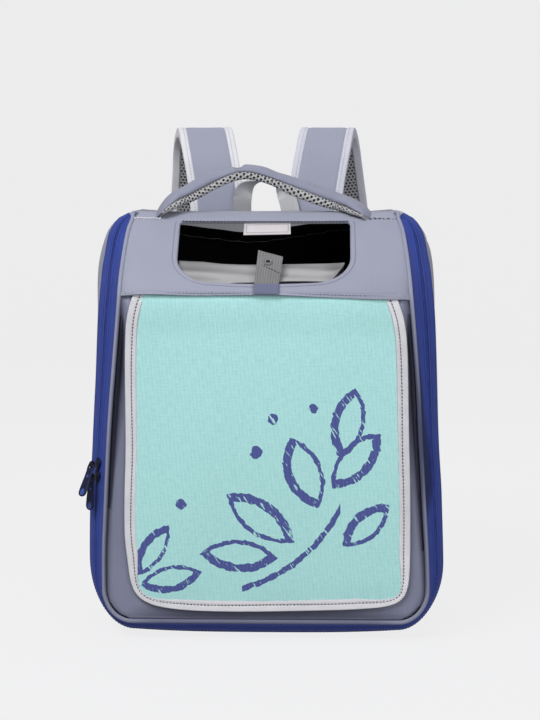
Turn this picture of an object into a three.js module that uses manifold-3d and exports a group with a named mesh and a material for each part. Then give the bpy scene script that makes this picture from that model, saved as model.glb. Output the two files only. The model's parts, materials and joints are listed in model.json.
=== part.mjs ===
// Pet carrier backpack: a soft-sided box with a sloping window, a roll-up curtain,
// a zip band round the front, a carry handle, a haul loop and two padded shoulder straps.
// Millimetres. The front faces -Y, up is +Z, and the base stands on Z = 0 at the origin.
import * as THREE from 'three';
import { mergeVertices } from 'three/addons/utils/BufferGeometryUtils.js';
import Module from 'manifold-3d';

const wasm = await Module();
wasm.setup();

// Driving dimensions
const CLEAR = 0.3;                                   // gap between pieces that are sewn or laid together
const BODY = { frontY: -112, backY: 115, height: 410, wall: 3, bulge: 4, crown: 1.5, mitre: 1.5 };
const SEAM_SHARE = { side: 0.66, corner: 0.86 };     // shares of a half seam: side, corner, then bottom
const FRONT_SEAM = { top: 403, bottom: 17.5, cornerRun: 34, cornerRise: 38, crestY: -40, slopeZ: 338 };
const BAND_SEAM = { top: 408, bottom: 0, cornerRun: 50, cornerRise: 75, y: -80, crestY: -22, slopeZ: 318 };
const BACK_SEAM = { top: 410, bottom: 0, cornerRun: 45, cornerRise: 60 };
const SWELL = { low: 2, high: 6, lowZ: 120, highZ: 360, fade: 40 };   // how far the sides stand out
const PIPING = { radius: 2.2, sides: 6 };
const ZIP = { tape: 2, chain: 3, chainFrom: 0.44, chainTo: 0.56, proud: 0.5 };
const WINDOW = {
  half: 83, from: 5, to: 91, corner: 34, hemY: -117.5, hemZ: 329, slopeY: -117, edgePower: 30,
};
const CURTAIN = { top: 335, bottom: 33, corner: 26, thick: 1.5, binding: 11, bindingThick: 2.4, lift: 0.7 };
const LINING = { half: 150, bottom: 26, top: 387, sag: 12, thick: 1.4 };
const ROLL = { half: 94, at: 31, radius: 10, sides: 12, taper: 0.6, taperPower: 6 };
const TAB = { wide: 25, top: 45, thick: 1.6, lean: 3.5, x: 3 };
const SNAP = { at: 33, radius: 5, crown: 3.8, high: 1.6, hollow: 2, floor: 0.6 };
const PATCH = { wide: 43, from: 78, to: 95, thick: 1.4, x: 2.5 };
const HANDLE = { y: -12, wide: 28, cover: 6, mesh: 5, roll: 8, lip: 1, round: 3 };
const HAUL = { thick: 2, wide: 20, flat: 0.2, shift: -4 };
const STRAP = { wide: 56, binding: 8, cover: 6.5, mesh: 4.5, trim: 0.6, shift: -5 };
const WEBBING = { wide: 25, thick: 1.8 };
const ADJUSTER = { wide: 34, thick: 7 };
const SLIDER = { z: 169, pitch: 12, wide: 11, long: 11.4, high: 3.4, chamfer: 2.5, twist: 22 };
const EYE = { inner: 1.6, outer: 3.4, wide: 3, sunk: 0.5 };
const PULL = { neck: 8, wide: 10, long: 33, thick: 1.8, throat: 4.6, play: 0.5, tilt: 24 };

// Half-widths of the three body seams and the curtain's edge at each height
const frontSides = [
  { z: 17.5, half: 153.5 }, { z: 70, half: 153.5 }, { z: 137, half: 151 }, { z: 231, half: 146 },
  { z: 326, half: 139.5 }, { z: 360, half: 137.5 }, { z: 390, half: 134 }, { z: 403, half: 130 },
];
const bandSides = [
  { z: 0, half: 171 }, { z: 75, half: 171 }, { z: 137, half: 170 }, { z: 184, half: 167.5 },
  { z: 231, half: 165.5 }, { z: 326, half: 162.5 }, { z: 352, half: 161 }, { z: 370, half: 158.5 },
  { z: 385, half: 156 }, { z: 392, half: 153.5 }, { z: 400, half: 148.5 }, { z: 405.5, half: 142 },
  { z: 408, half: 136 },
];
const backSides = [
  { z: 0, half: 170 }, { z: 90, half: 170 }, { z: 330, half: 169 }, { z: 370, half: 167 },
  { z: 390, half: 162 }, { z: 402, half: 154 }, { z: 408, half: 144 }, { z: 410, half: 134 },
];
const curtainSides = [
  { z: 33, half: 133.5 }, { z: 70, half: 133.5 }, { z: 137, half: 134.5 }, { z: 280, half: 132.5 },
  { z: 306, half: 131 }, { z: 326, half: 125.5 }, { z: 335, half: 121 },
];

// The line that the handle, loop, straps and lower webbing follow
const handleLine = [
  { x: -111, z: 414.2 }, { x: -103, z: 415.4 }, { x: -91, z: 421 }, { x: -76, z: 428.3 }, { x: -61, z: 435 },
  { x: -46, z: 441.2 }, { x: -31, z: 447.3 }, { x: -22, z: 449.3 }, { x: -10, z: 447.8 }, { x: 13, z: 439.7 },
  { x: 33, z: 432.6 }, { x: 53, z: 425.4 }, { x: 73, z: 418.6 }, { x: 92, z: 414.9 }, { x: 104, z: 414.2 },
];
const haulLine = [
  { x: -25, y: 113.5, z: 410.5 }, { x: -25, y: 113.5, z: 420 }, { x: -17, y: 114, z: 435 },
  { x: 0, y: 114, z: 441 },
  { x: 17, y: 114, z: 435 }, { x: 25, y: 113.5, z: 420 }, { x: 25, y: 113.5, z: 410.5 },
];
const strapLine = [
  { x: 55, y: 123, z: 365 }, { x: 55, y: 123, z: 395 }, { x: 57, y: 126, z: 430 },
  { x: 61, y: 137, z: 468 }, { x: 65, y: 160, z: 490 }, { x: 71, y: 186, z: 479 },
  { x: 77, y: 203, z: 440 }, { x: 83, y: 210, z: 395 }, { x: 90, y: 208, z: 320 },
  { x: 98, y: 198, z: 240 }, { x: 104, y: 184, z: 170 },
];
const webbingLine = [
  { x: 107, y: 176, z: 140 }, { x: 113, y: 160, z: 100 }, { x: 122, y: 138, z: 60 },
  { x: 128, y: 121, z: 36 }, { x: 129, y: 117, z: 26 }, { x: 130, y: 117, z: 14 },
];

const COLOURS = {
  cloth: 0x9da0b5, blue: 0x3d4f98, mint: 0xa6d0d4, offWhite: 0xd8d9de, mesh: 0x9a9a9c, black: 0x101013,
  grey: 0xa3a3a5, webbing: 0x858588, moulded: 0x1b2448, steel: 0x5a5a60,
};

const { lerp, clamp, smoothstep, degToRad } = THREE.MathUtils;
const nudge = 1e-3;                                  // share of a surface over which its slope is taken
const centre = new THREE.Vector3(0, 0, BODY.height / 2);
const bag = new THREE.Group();

// One named piece with its own finish
function piece(name, geometry, colour, { roughness = 0.85, metalness = 0, parent = bag } = {}) {
  const finish = new THREE.MeshStandardMaterial({ color: colour, roughness, metalness });
  const mesh = new THREE.Mesh(geometry, finish);
  mesh.name = name;
  parent.add(mesh);
  return mesh;
}

// A table's half-width at a height, straight between its rows
function halfAt(table, z) {
  const next = Math.max(1, table.findIndex((row) => row.z >= z));
  const [low, high] = z > table.at(-1).z ? table.slice(-2) : [table[next - 1], table[next]];
  return lerp(low.half, high.half, (z - low.z) / (high.z - low.z));
}

// The same with the lower corners rounded off as quarter ellipses
function roundedHalf(table, z, { bottom, cornerRun, cornerRise }) {
  const below = Math.max(0, bottom + cornerRise - z) / cornerRise;
  return halfAt(table, z) - cornerRun * (1 - Math.sqrt(Math.max(0, 1 - below * below)));
}

// Half of a U-shaped seam: from the crest at s = 0 down the side, round the corner, to the middle at s = 1
function halfSeam(table, { top, bottom, cornerRun, cornerRise }, depth) {
  const bend = bottom + cornerRise;
  const inner = halfAt(table, bend) - cornerRun;
  return (s) => {
    let [x, z] = [inner, bottom];
    if (s < SEAM_SHARE.side) {
      z = lerp(top, bend, s / SEAM_SHARE.side);
      x = halfAt(table, z);
    } else if (s < SEAM_SHARE.corner) {
      const turn = (Math.PI / 2) * (s - SEAM_SHARE.side) / (SEAM_SHARE.corner - SEAM_SHARE.side);
      x += cornerRun * Math.cos(turn);
      z = bend - cornerRise * Math.sin(turn);
    } else {
      x *= (1 - s) / (1 - SEAM_SHARE.corner);
    }
    return new THREE.Vector3(x, depth(z), z);
  };
}

// The whole U, from the left crest at t = 0 to the right crest at t = 1
function wholeSeam(half) {
  return (t) => {
    const point = half(1 - Math.abs(2 * t - 1));
    if (t < 0.5) point.x *= -1;
    return point;
  };
}

const steps = (count, from = 0, to = 1) => (
  Array.from({ length: count + 1 }, (_, i) => lerp(from, to, i / count)));

// Stations along half a seam and along the whole U: few on the straights, more at the corner
const sideShares = [0, 0.035, 0.08, 0.13, 0.2, 0.32, 0.48, 0.64, 0.82, 1];
const sideStations = [...sideShares.map((share) => share * SEAM_SHARE.side),
  ...steps(4, SEAM_SHARE.side, SEAM_SHARE.corner).slice(1)];
const halfStations = [...sideStations, ...steps(2, SEAM_SHARE.corner, 1).slice(1)];
const uStations = [...halfStations.map((s) => s / 2),
  ...halfStations.slice(0, -1).reverse().map((s) => 1 - s / 2)];

// A closed geometry from vertices and triangles, turned so that its faces point out
function solid(vertices, triangles) {
  const volume = triangles.reduce((sum, [a, b, c]) => (
    sum + vertices[a].dot(new THREE.Vector3().crossVectors(vertices[b], vertices[c]))), 0);
  const outward = volume > 0 ? triangles : triangles.map(([a, b, c]) => [a, c, b]);
  const geometry = new THREE.BufferGeometry();
  const places = vertices.flatMap((vertex) => vertex.toArray());
  geometry.setAttribute('position', new THREE.Float32BufferAttribute(places, 3));
  geometry.setIndex(outward.flat());
  return geometry;
}

// A surface cut back from its four edges by so many millimetres
function trimmed(surface, { u0 = 0, u1 = 0, v0 = 0, v1 = 0 }) {
  const lengthOf = (line) => steps(8).reduce((sum, at, i, all) => (
    i ? sum + line(at).distanceTo(line(all[i - 1])) : 0), 0);
  return (u, v) => {
    const wide = lengthOf((at) => surface(at, v)) || 1;
    const tall = lengthOf((at) => surface(u, at)) || 1;
    return surface(lerp(u0 / wide, 1 - u1 / wide, u), lerp(v0 / tall, 1 - v1 / tall, v));
  };
}

// A wall: the outer surface over a grid, an inner one set in by the thickness, and edges between them.
// The edges are cut back by the clearance outside and further inside, so that walls meet as a mitre.
function wall(surface, us, vs, thickness, mitre = {}) {
  const cut = (extra) => Object.fromEntries(Object.entries({ u0: 0, u1: 0, v0: 0, v1: 0, ...mitre }).map(
    ([edge, more]) => [edge, CLEAR / 2 + extra * more]));
  const outer = trimmed(surface, cut(0));
  const inner = trimmed(surface, cut(1));
  const normalAt = (u, v) => {
    const du = surface(Math.min(1, u + nudge), v).sub(surface(Math.max(0, u - nudge), v));
    const dv = surface(u, Math.min(1, v + nudge)).sub(surface(u, Math.max(0, v - nudge)));
    const normal = du.cross(dv).normalize();
    return normal.dot(surface(u, v).sub(centre)) < 0 ? normal.negate() : normal;
  };
  const [wide, tall] = [us.length, vs.length];
  const grid = (point) => vs.flatMap((v) => us.map((u) => point(u, v)));
  const sunk = (u, v) => inner(u, v).addScaledVector(normalAt(u, v), -thickness);
  const vertices = [...grid(outer), ...grid(sunk)];
  const back = wide * tall;
  const triangles = [];
  const quad = (a, b, c, d) => triangles.push([a, b, c], [a, c, d]);
  for (let j = 0; j < tall - 1; j += 1) {
    for (let i = 0; i < wide - 1; i += 1) {
      const at = j * wide + i;
      quad(at, at + 1, at + wide + 1, at + wide);
      quad(back + at, back + at + wide, back + at + wide + 1, back + at + 1);
    }
  }
  const rim = [
    ...steps(wide - 1, 0, wide - 1),
    ...steps(tall - 1, 0, tall - 1).slice(1).map((j) => j * wide + wide - 1),
    ...steps(wide - 1, wide - 1, 0).slice(1).map((i) => (tall - 1) * wide + i),
    ...steps(tall - 1, tall - 1, 0).slice(1, -1).map((j) => j * wide),
  ].map(Math.round);
  rim.forEach((at, i) => {
    const next = rim[(i + 1) % rim.length];
    quad(next, at, back + at, back + next);
  });
  return solid(vertices, triangles);
}

// A section carried along frames of a point, a direction across and a direction up, with flat ends
function sweep(frames, sectionAt) {
  const rings = frames.map((frame, i) => sectionAt(i / (frames.length - 1)).map(([across, up]) => (
    frame.point.clone().addScaledVector(frame.across, across).addScaledVector(frame.up, up))));
  const sides = rings[0].length;
  const last = (rings.length - 1) * sides;
  const triangles = [];
  for (let ring = 0; ring < rings.length - 1; ring += 1) {
    for (let side = 0; side < sides; side += 1) {
      const [a, b] = [ring * sides + side, ring * sides + (side + 1) % sides];
      if (side < sides / 2) triangles.push([a, b, b + sides], [a, b + sides, a + sides]);
      else triangles.push([a, b, a + sides], [b, b + sides, a + sides]);  // opposite faces share a diagonal
    }
  }
  for (let side = 1; side < sides - 1; side += 1) {
    triangles.push([0, side + 1, side], [last, last + side, last + side + 1]);
  }
  return solid(rings.flat(), triangles);
}

// Frames along a smooth line through table rows, with a chosen direction across at each share of its length
function framesAlong(rows, count, acrossAt, roll = () => 0) {
  const line = new THREE.CatmullRomCurve3(rows.map(({ x, y, z }) => new THREE.Vector3(x, y, z)));
  return steps(count).map((share) => {
    const along = line.getTangentAt(share);
    const across = acrossAt(share).clone().addScaledVector(along, -along.dot(acrossAt(share))).normalize();
    across.applyAxisAngle(along, roll(share));
    return { point: line.getPointAt(share), across, up: new THREE.Vector3().crossVectors(along, across) };
  });
}

const slab = (left, right, low, high) => [[left, low], [right, low], [right, high], [left, high]];
const ring = (radius, sides) => steps(sides).slice(1).map((share) => (
  [radius * Math.cos(2 * Math.PI * share), radius * Math.sin(2 * Math.PI * share)]));

// A slab with its upper edges rounded over, for padded strips
function padded(left, right, low, high, round) {
  return [[left, low], [right, low], [right, high - round], [right - round, high], [left + round, high],
    [left, high - round]];
}

// Solids joined or cut, from geometries of the same space
function asSolid(geometry) {
  const bare = geometry.clone();
  bare.deleteAttribute('normal');
  bare.deleteAttribute('uv');
  const merged = mergeVertices(bare, 1e-4);
  const [vertProperties, triVerts] = [merged.attributes.position.array, new Uint32Array(merged.index.array)];
  return new wasm.Manifold(new wasm.Mesh({ numProp: 3, vertProperties, triVerts }));
}

function asGeometry(result) {
  const { vertProperties, triVerts } = result.getMesh();
  const geometry = new THREE.BufferGeometry();
  geometry.setAttribute('position', new THREE.BufferAttribute(vertProperties, 3));
  geometry.setIndex(new THREE.BufferAttribute(triVerts, 1));
  return geometry;
}

const subtract = (from, tool) => asGeometry(asSolid(from).subtract(asSolid(tool)));
const join = (first, second) => asGeometry(asSolid(first).add(asSolid(second)));

// The three seams of the body and the sheet of the band between the first two
const slopeShare = (z) => Math.max(0, z - FRONT_SEAM.slopeZ) / (FRONT_SEAM.top - FRONT_SEAM.slopeZ);
const seamDepth = (z) => lerp(BODY.frontY, FRONT_SEAM.crestY, slopeShare(z));
const frontHalf = halfSeam(frontSides, FRONT_SEAM, seamDepth);
const bandHalf = halfSeam(bandSides, BAND_SEAM, (z) => lerp(BAND_SEAM.y, BAND_SEAM.crestY,
  Math.max(0, z - BAND_SEAM.slopeZ) / (BAND_SEAM.top - BAND_SEAM.slopeZ)));
const backHalf = halfSeam(backSides, BACK_SEAM, () => BODY.backY);
const frontSeam = wholeSeam(frontHalf);
const bandSeam = wholeSeam(bandHalf);
const backSeam = wholeSeam(backHalf);
const bandSheet = (t, share, proud = 0) => {
  const [from, to] = [frontSeam(t), bandSeam(t)];
  const point = from.clone().lerp(to, share);
  const outward = new THREE.Vector3(point.x, 0, point.z - centre.z).normalize();
  return point.addScaledVector(outward, proud);
};

// A panel across the bag: height rises with v, and u runs from the left seam to the right
const across = (table, spec, inset, from, to, depth) => (u, v) => {
  const z = lerp(from, to, v);
  const half = roundedHalf(table, z, spec) - inset;
  return new THREE.Vector3(lerp(-half, half, u), depth(2 * u - 1, z), z);
};
const rowsFrom = (bottom, top, cornerRise, count) => [
  ...steps(4).map((share) => cornerRise * (1 - Math.cos(share * Math.PI / 2)) / (top - bottom)),
  ...steps(count, cornerRise / (top - bottom), 1).slice(1),
];

// The front panel stands a little behind the piping and swells in the middle
const frontTop = WINDOW.hemZ - CLEAR;
const frontDepth = (side, z) => {
  const rise = clamp((z - FRONT_SEAM.bottom) / (frontTop - FRONT_SEAM.bottom), 0, 1);
  return BODY.frontY + PIPING.radius - BODY.bulge * (1 - side * side) * Math.sin(Math.PI * rise);
};
const frontSpec = { ...FRONT_SEAM, bottom: FRONT_SEAM.bottom + PIPING.radius };
const frontSheet = across(
  frontSides, frontSpec, PIPING.radius + CLEAR, frontSpec.bottom + CLEAR, frontTop, frontDepth);
const frontRows = rowsFrom(frontSpec.bottom, frontTop, FRONT_SEAM.cornerRise, 9);
piece('front_panel', wall(frontSheet, steps(10), frontRows, BODY.wall, { v1: BODY.mitre }), COLOURS.cloth);

// The window panel: a straight hem, then the slope up to the crest, with the D-shaped window cut through it
const sideways = new THREE.Vector3(1, 0, 0);
const forwards = new THREE.Vector3(0, -1, 0);
const slopeFoot = new THREE.Vector3(0, WINDOW.slopeY, FRONT_SEAM.slopeZ);
const slopeUp = new THREE.Vector3(0, FRONT_SEAM.crestY, FRONT_SEAM.top).sub(slopeFoot).normalize();
const slopeOut = new THREE.Vector3().crossVectors(sideways, slopeUp);
const slopeFrame = new THREE.Matrix4().makeBasis(sideways, slopeUp, slopeOut).setPosition(slopeFoot);
const onSlope = (x, up, out = 0) => new THREE.Vector3(x, up, out).applyMatrix4(slopeFrame);
const windowDepth = (side, z) => {
  const middle = z < FRONT_SEAM.slopeZ
    ? lerp(WINDOW.hemY, WINDOW.slopeY, (z - WINDOW.hemZ) / (FRONT_SEAM.slopeZ - WINDOW.hemZ))
    : lerp(WINDOW.slopeY, FRONT_SEAM.crestY, slopeShare(z));
  return lerp(middle, seamDepth(z), side ** WINDOW.edgePower);
};
const windowRows = [0, (FRONT_SEAM.slopeZ - WINDOW.hemZ) / (FRONT_SEAM.top - WINDOW.hemZ)];
const windowSheet = wall(
  across(frontSides, FRONT_SEAM, PIPING.radius + 3 * CLEAR, WINDOW.hemZ, FRONT_SEAM.top, windowDepth),
  [0, 0.04, 0.1, 0.3, 0.5, 0.7, 0.9, 0.96, 1], [...windowRows, ...steps(5, windowRows[1], 1).slice(1)],
  BODY.wall, { v1: BODY.wall });
const windowShape = new THREE.Shape();
const [arcX, arcY] = [WINDOW.half - WINDOW.corner, WINDOW.from + WINDOW.corner];
windowShape.moveTo(-WINDOW.half, WINDOW.to);
windowShape.lineTo(-WINDOW.half, arcY);
windowShape.absarc(-arcX, arcY, WINDOW.corner, Math.PI, 1.5 * Math.PI);
windowShape.absarc(arcX, arcY, WINDOW.corner, 1.5 * Math.PI, 2 * Math.PI);
windowShape.lineTo(WINDOW.half, WINDOW.to);
const cutDepth = 10 * BODY.wall;
const windowTool = new THREE.ExtrudeGeometry(windowShape, {
  depth: cutDepth, bevelEnabled: false, curveSegments: 6,
}).translate(0, 0, -cutDepth / 2).applyMatrix4(slopeFrame);
piece('window_panel', subtract(windowSheet, windowTool), COLOURS.cloth);

// The top, from the crest of the window panel to the back, between the upper ends of the two sides
const crest = [frontHalf(0), bandHalf(0), backHalf(0)];
const crestShare = 0.14;
const topSheet = (u, v) => {
  const edge = v < crestShare ? crest[0].clone().lerp(crest[1], v / crestShare)
    : crest[1].clone().lerp(crest[2], (v - crestShare) / (1 - crestShare));
  const side = 2 * u - 1;
  const crown = BODY.crown * (1 - side * side) * Math.sin(Math.PI * v);
  return new THREE.Vector3(edge.x * side, edge.y, edge.z + crown);
};
const backGap = { v1: BODY.wall + CLEAR };           // the back panel closes the ends of the other walls
const topMitre = { u0: BODY.wall, u1: BODY.wall, v0: BODY.wall };
piece('top_panel', wall(trimmed(topSheet, backGap), [0, 0.04, 0.25, 0.5, 0.75, 0.96, 1],
  [0, ...steps(4, crestShare, 1)], BODY.wall, topMitre), COLOURS.cloth);

// Sides, base and back: a side swells outwards behind the band
const shellSheet = (t, v) => {
  const point = bandSeam(t).lerp(backSeam(t), v);
  const { low, high, lowZ, highZ, fade } = SWELL;
  const amount = lerp(low, high, smoothstep(point.z, lowZ, highZ)) * Math.sin(Math.PI * v);
  const ends = smoothstep(BODY.height - point.z, 0, fade) * smoothstep(point.z, 0, 2 * fade);
  point.x += Math.sign(point.x) * amount * ends;
  return point;
};
const cornerEnd = SEAM_SHARE.corner / 2;
for (const [side, from, to] of [['left', 0, cornerEnd], ['right', 1, 1 - cornerEnd]]) {
  const sheet = trimmed((u, v) => shellSheet(lerp(from, to, u), v), backGap);
  piece(`side_panel_${side}`, wall(sheet, sideStations.map((s) => s / SEAM_SHARE.corner), steps(4), BODY.wall,
    { u0: BODY.wall, v0: BODY.mitre }), COLOURS.cloth);
}
const bottomSheet = trimmed((u, v) => shellSheet(lerp(cornerEnd, 1 - cornerEnd, u), v), backGap);
piece('bottom_panel', wall(bottomSheet, steps(4), steps(3), BODY.wall, { v0: BODY.mitre }), COLOURS.cloth);
const backRows = [...steps(4).map((share) => BACK_SEAM.cornerRise * (1 - Math.cos(share * Math.PI / 2))),
  ...backSides.map(({ z }) => z).filter((z) => z > BACK_SEAM.cornerRise)].map((z) => z / BODY.height);
const backSheet = across(backSides, BACK_SEAM, 0, 0, BODY.height, () => BODY.backY);
piece('back_panel', wall(backSheet, steps(6), backRows, BODY.wall), COLOURS.cloth);

// Piping in the front seam, and the zip band behind it: two tapes with the closed chain between them
const pipingFrames = uStations.map((t) => {
  const along = frontSeam(Math.min(1, t + nudge)).sub(frontSeam(Math.max(0, t - nudge))).normalize();
  const inBand = bandSeam(t).sub(frontSeam(t)).normalize();
  const up = new THREE.Vector3().crossVectors(along, inBand).normalize();
  return { point: frontSeam(t), across: new THREE.Vector3().crossVectors(up, along), up };
});
piece('front_piping', sweep(pipingFrames, () => ring(PIPING.radius, PIPING.sides)), COLOURS.cloth);
const bandPart = (from, to, proud) => (u, v) => bandSheet(u, lerp(from, to, v), proud);
const tapeFront = trimmed(bandPart(0, ZIP.chainFrom, 0), { v0: PIPING.radius + 4 * CLEAR, v1: CLEAR });
const tapeRear = trimmed(bandPart(ZIP.chainTo, 1, 0), { v0: CLEAR });
piece('zip_tape_front', wall(tapeFront, uStations, steps(1), ZIP.tape), COLOURS.blue);
piece('zip_tape_rear', wall(tapeRear, uStations, steps(1), ZIP.tape, { v1: BODY.mitre }), COLOURS.blue);
const chainSheet = bandPart(ZIP.chainFrom, ZIP.chainTo, ZIP.proud);
piece('zip_chain', wall(chainSheet, uStations, steps(1), ZIP.chain), COLOURS.blue, { roughness: 0.45 });

// The curtain hangs in front of the front panel, with a binding round its sides and lower corners
const curtainSpec = { bottom: CURTAIN.bottom, cornerRun: CURTAIN.corner, cornerRise: CURTAIN.corner };
const curtainDepth = (x, z) => frontDepth(x / halfAt(frontSides, z), z) - CURTAIN.lift;
const curtainSheet = (u, v) => {
  const z = lerp(CURTAIN.bottom + CURTAIN.binding + 3 * CLEAR, CURTAIN.top, v);
  const spec = { bottom: CURTAIN.bottom + CURTAIN.binding, cornerRun: CURTAIN.corner - CURTAIN.binding,
    cornerRise: CURTAIN.corner - CURTAIN.binding };
  const half = roundedHalf(curtainSides, z, spec) - CURTAIN.binding - 2 * CLEAR;
  const x = lerp(-half, half, u);
  return new THREE.Vector3(x, curtainDepth(x, z) - CURTAIN.thick, z);
};
piece('curtain', wall(curtainSheet, steps(8), rowsFrom(CURTAIN.bottom + CURTAIN.binding, CURTAIN.top,
  CURTAIN.corner - CURTAIN.binding, 9), CURTAIN.thick), COLOURS.mint);
const curtainEdge = wholeSeam(halfSeam(curtainSides, { top: CURTAIN.top, ...curtainSpec }, () => 0));
const bindingFrames = uStations.map((t) => {
  const along = curtainEdge(Math.min(1, t + nudge)).sub(curtainEdge(Math.max(0, t - nudge))).normalize();
  const point = curtainEdge(t);
  point.y = curtainDepth(point.x, point.z);
  return { point, across: new THREE.Vector3().crossVectors(forwards, along), up: forwards };
});
piece('curtain_binding', sweep(bindingFrames, () => slab(0, CURTAIN.binding, 0, CURTAIN.bindingThick)),
  COLOURS.offWhite);

// Seen through the window: the lining on the back wall with its sagging hem, and the cover's tucked roll
const liningSheet = (u, v) => {
  const side = 2 * u - 1;
  const top = LINING.top - LINING.sag * (1 - side * side);
  return new THREE.Vector3(LINING.half * side, BODY.backY - BODY.wall - CLEAR, lerp(LINING.bottom, top, v));
};
piece('lining_panel', wall(liningSheet, steps(8), steps(3), LINING.thick), COLOURS.black);
const rollRadius = (share) => ROLL.radius * Math.sqrt(1 - ROLL.taper * (2 * share - 1) ** ROLL.taperPower);
const rollFrames = steps(12).map((share) => {
  const under = BODY.wall + 1.5 * CLEAR + rollRadius(share);
  return { point: onSlope(ROLL.half * (2 * share - 1), ROLL.at, -under), across: slopeUp, up: slopeOut };
});
piece('window_roll', sweep(rollFrames, (share) => ring(rollRadius(share), ROLL.sides)), COLOURS.grey,
  { roughness: 0.35 });

// The webbing tab with its press stud, and the hook-and-loop patch that hangs at the window's top edge
const tabLift = TAB.thick / 2 + 2 * CLEAR;
const kneeOut = slopeOut.clone().add(forwards).normalize();
const tabFrames = [
  { point: new THREE.Vector3(TAB.x, WINDOW.hemY - tabLift, WINDOW.hemZ), across: sideways, up: forwards },
  { point: onSlope(TAB.x, 0).addScaledVector(kneeOut, tabLift), across: sideways, up: kneeOut },
  ...steps(4).slice(1).map((share) => (
    { point: onSlope(TAB.x + TAB.lean * share, TAB.top * share, tabLift), across: sideways, up: slopeOut })),
];
const tape = (wide, thick) => slab(-wide / 2, wide / 2, -thick / 2, thick / 2);
piece('window_tab', sweep(tabFrames, () => tape(TAB.wide, TAB.thick)), COLOURS.webbing);
const studProfile = [
  { r: 0, h: 0 }, { r: SNAP.radius, h: 0 }, { r: SNAP.radius, h: SNAP.high / 2 },
  { r: SNAP.crown, h: SNAP.high }, { r: SNAP.hollow, h: SNAP.high }, { r: SNAP.hollow, h: SNAP.floor },
  { r: 0, h: SNAP.floor },
].map(({ r, h }) => new THREE.Vector2(r, h));
const studPlace = onSlope(TAB.x + TAB.lean * SNAP.at / TAB.top, SNAP.at, tabLift + TAB.thick / 2 + CLEAR);
const stud = new THREE.LatheGeometry(studProfile, 12).rotateX(Math.PI / 2);
piece('tab_snap', stud.applyMatrix4(slopeFrame.clone().setPosition(studPlace)), COLOURS.steel,
  { roughness: 0.4, metalness: 0.8 });
const patchPlace = onSlope(PATCH.x, (PATCH.from + PATCH.to) / 2, -BODY.wall - CLEAR - PATCH.thick / 2);
const patch = new THREE.BoxGeometry(PATCH.wide, PATCH.to - PATCH.from, PATCH.thick);
piece('window_patch', patch.applyMatrix4(slopeFrame.clone().setPosition(patchPlace)), COLOURS.offWhite);

// The carry handle: a padded cover over a mesh underside, rolled a little towards the front
const handleRows = handleLine.map((row) => ({ ...row, y: HANDLE.y }));
const handleFrames = framesAlong(handleRows, 22, () => new THREE.Vector3(0, 1, 0),
  (share) => degToRad(HANDLE.roll) * Math.sin(Math.PI * share));
const handleHalf = HANDLE.wide / 2;
const meshHalf = handleHalf - HANDLE.lip;
const coverSection = padded(-handleHalf, handleHalf, CLEAR / 2, HANDLE.cover, HANDLE.round);
piece('handle_cover', sweep(handleFrames, () => coverSection), COLOURS.cloth);
const meshSection = slab(-meshHalf, meshHalf, -HANDLE.mesh, -CLEAR / 2);
piece('handle_mesh', sweep(handleFrames, () => meshSection), COLOURS.mesh);

// The haul loop turns its edge to the front at its top
const haulRows = haulLine.map((row) => ({ ...row, x: row.x + HAUL.shift }));
const haulFrames = framesAlong(haulRows, 22, (share) => {
  const turn = Math.PI * clamp((share - HAUL.flat) / (1 - 2 * HAUL.flat), 0, 1);
  return new THREE.Vector3(Math.cos(turn), Math.sin(turn), 0);
});
piece('haul_loop', sweep(haulFrames, () => tape(HAUL.wide, HAUL.thick)), COLOURS.offWhite);

// Shoulder straps: cover outside, mesh inside, a binding on each edge, then webbing to the lower corner
for (const [side, sign] of [['left', -1], ['right', 1]]) {
  const mirrored = (rows) => rows.map((row) => ({ ...row, x: sign * row.x + STRAP.shift }));
  const frames = framesAlong(mirrored(strapLine), 30, () => new THREE.Vector3(-1, 0, 0));
  const [edge, inner] = [STRAP.wide / 2, STRAP.wide / 2 - STRAP.binding - 2 * CLEAR];
  const [outside, inside] = [slab(-inner, inner, CLEAR / 2, STRAP.cover),
    slab(-inner, inner, -STRAP.mesh, -CLEAR / 2)];
  piece(`strap_cover_${side}`, sweep(frames, () => outside), COLOURS.cloth);
  piece(`strap_mesh_${side}`, sweep(frames, () => inside), COLOURS.mesh);
  for (const [place, turn] of [['inner', sign], ['outer', -sign]]) {
    const [from, to] = [turn * edge, turn * (edge - STRAP.binding)].sort((a, b) => a - b);
    piece(`strap_binding_${place}_${side}`, sweep(frames, () => (
      slab(from, to, -STRAP.mesh - STRAP.trim, STRAP.cover + STRAP.trim))), COLOURS.offWhite);
  }
  const lower = framesAlong(mirrored(webbingLine), 12, () => new THREE.Vector3(-1, 0, 0));
  piece(`strap_webbing_${side}`, sweep(lower, () => tape(WEBBING.wide, WEBBING.thick)), COLOURS.webbing);
  const [padEnd, webStart] = [frames.at(-1), lower[0]];
  const along = webStart.point.clone().sub(padEnd.point);
  const adjusterFrames = [CLEAR, along.length() - 4 * CLEAR].map((at) => ({
    ...padEnd, point: padEnd.point.clone().addScaledVector(along.clone().normalize(), at) }));
  piece(`strap_adjuster_${side}`, sweep(adjusterFrames, () => tape(ADJUSTER.wide, ADJUSTER.thick)),
    COLOURS.moulded, { roughness: 0.5 });
}

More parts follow.
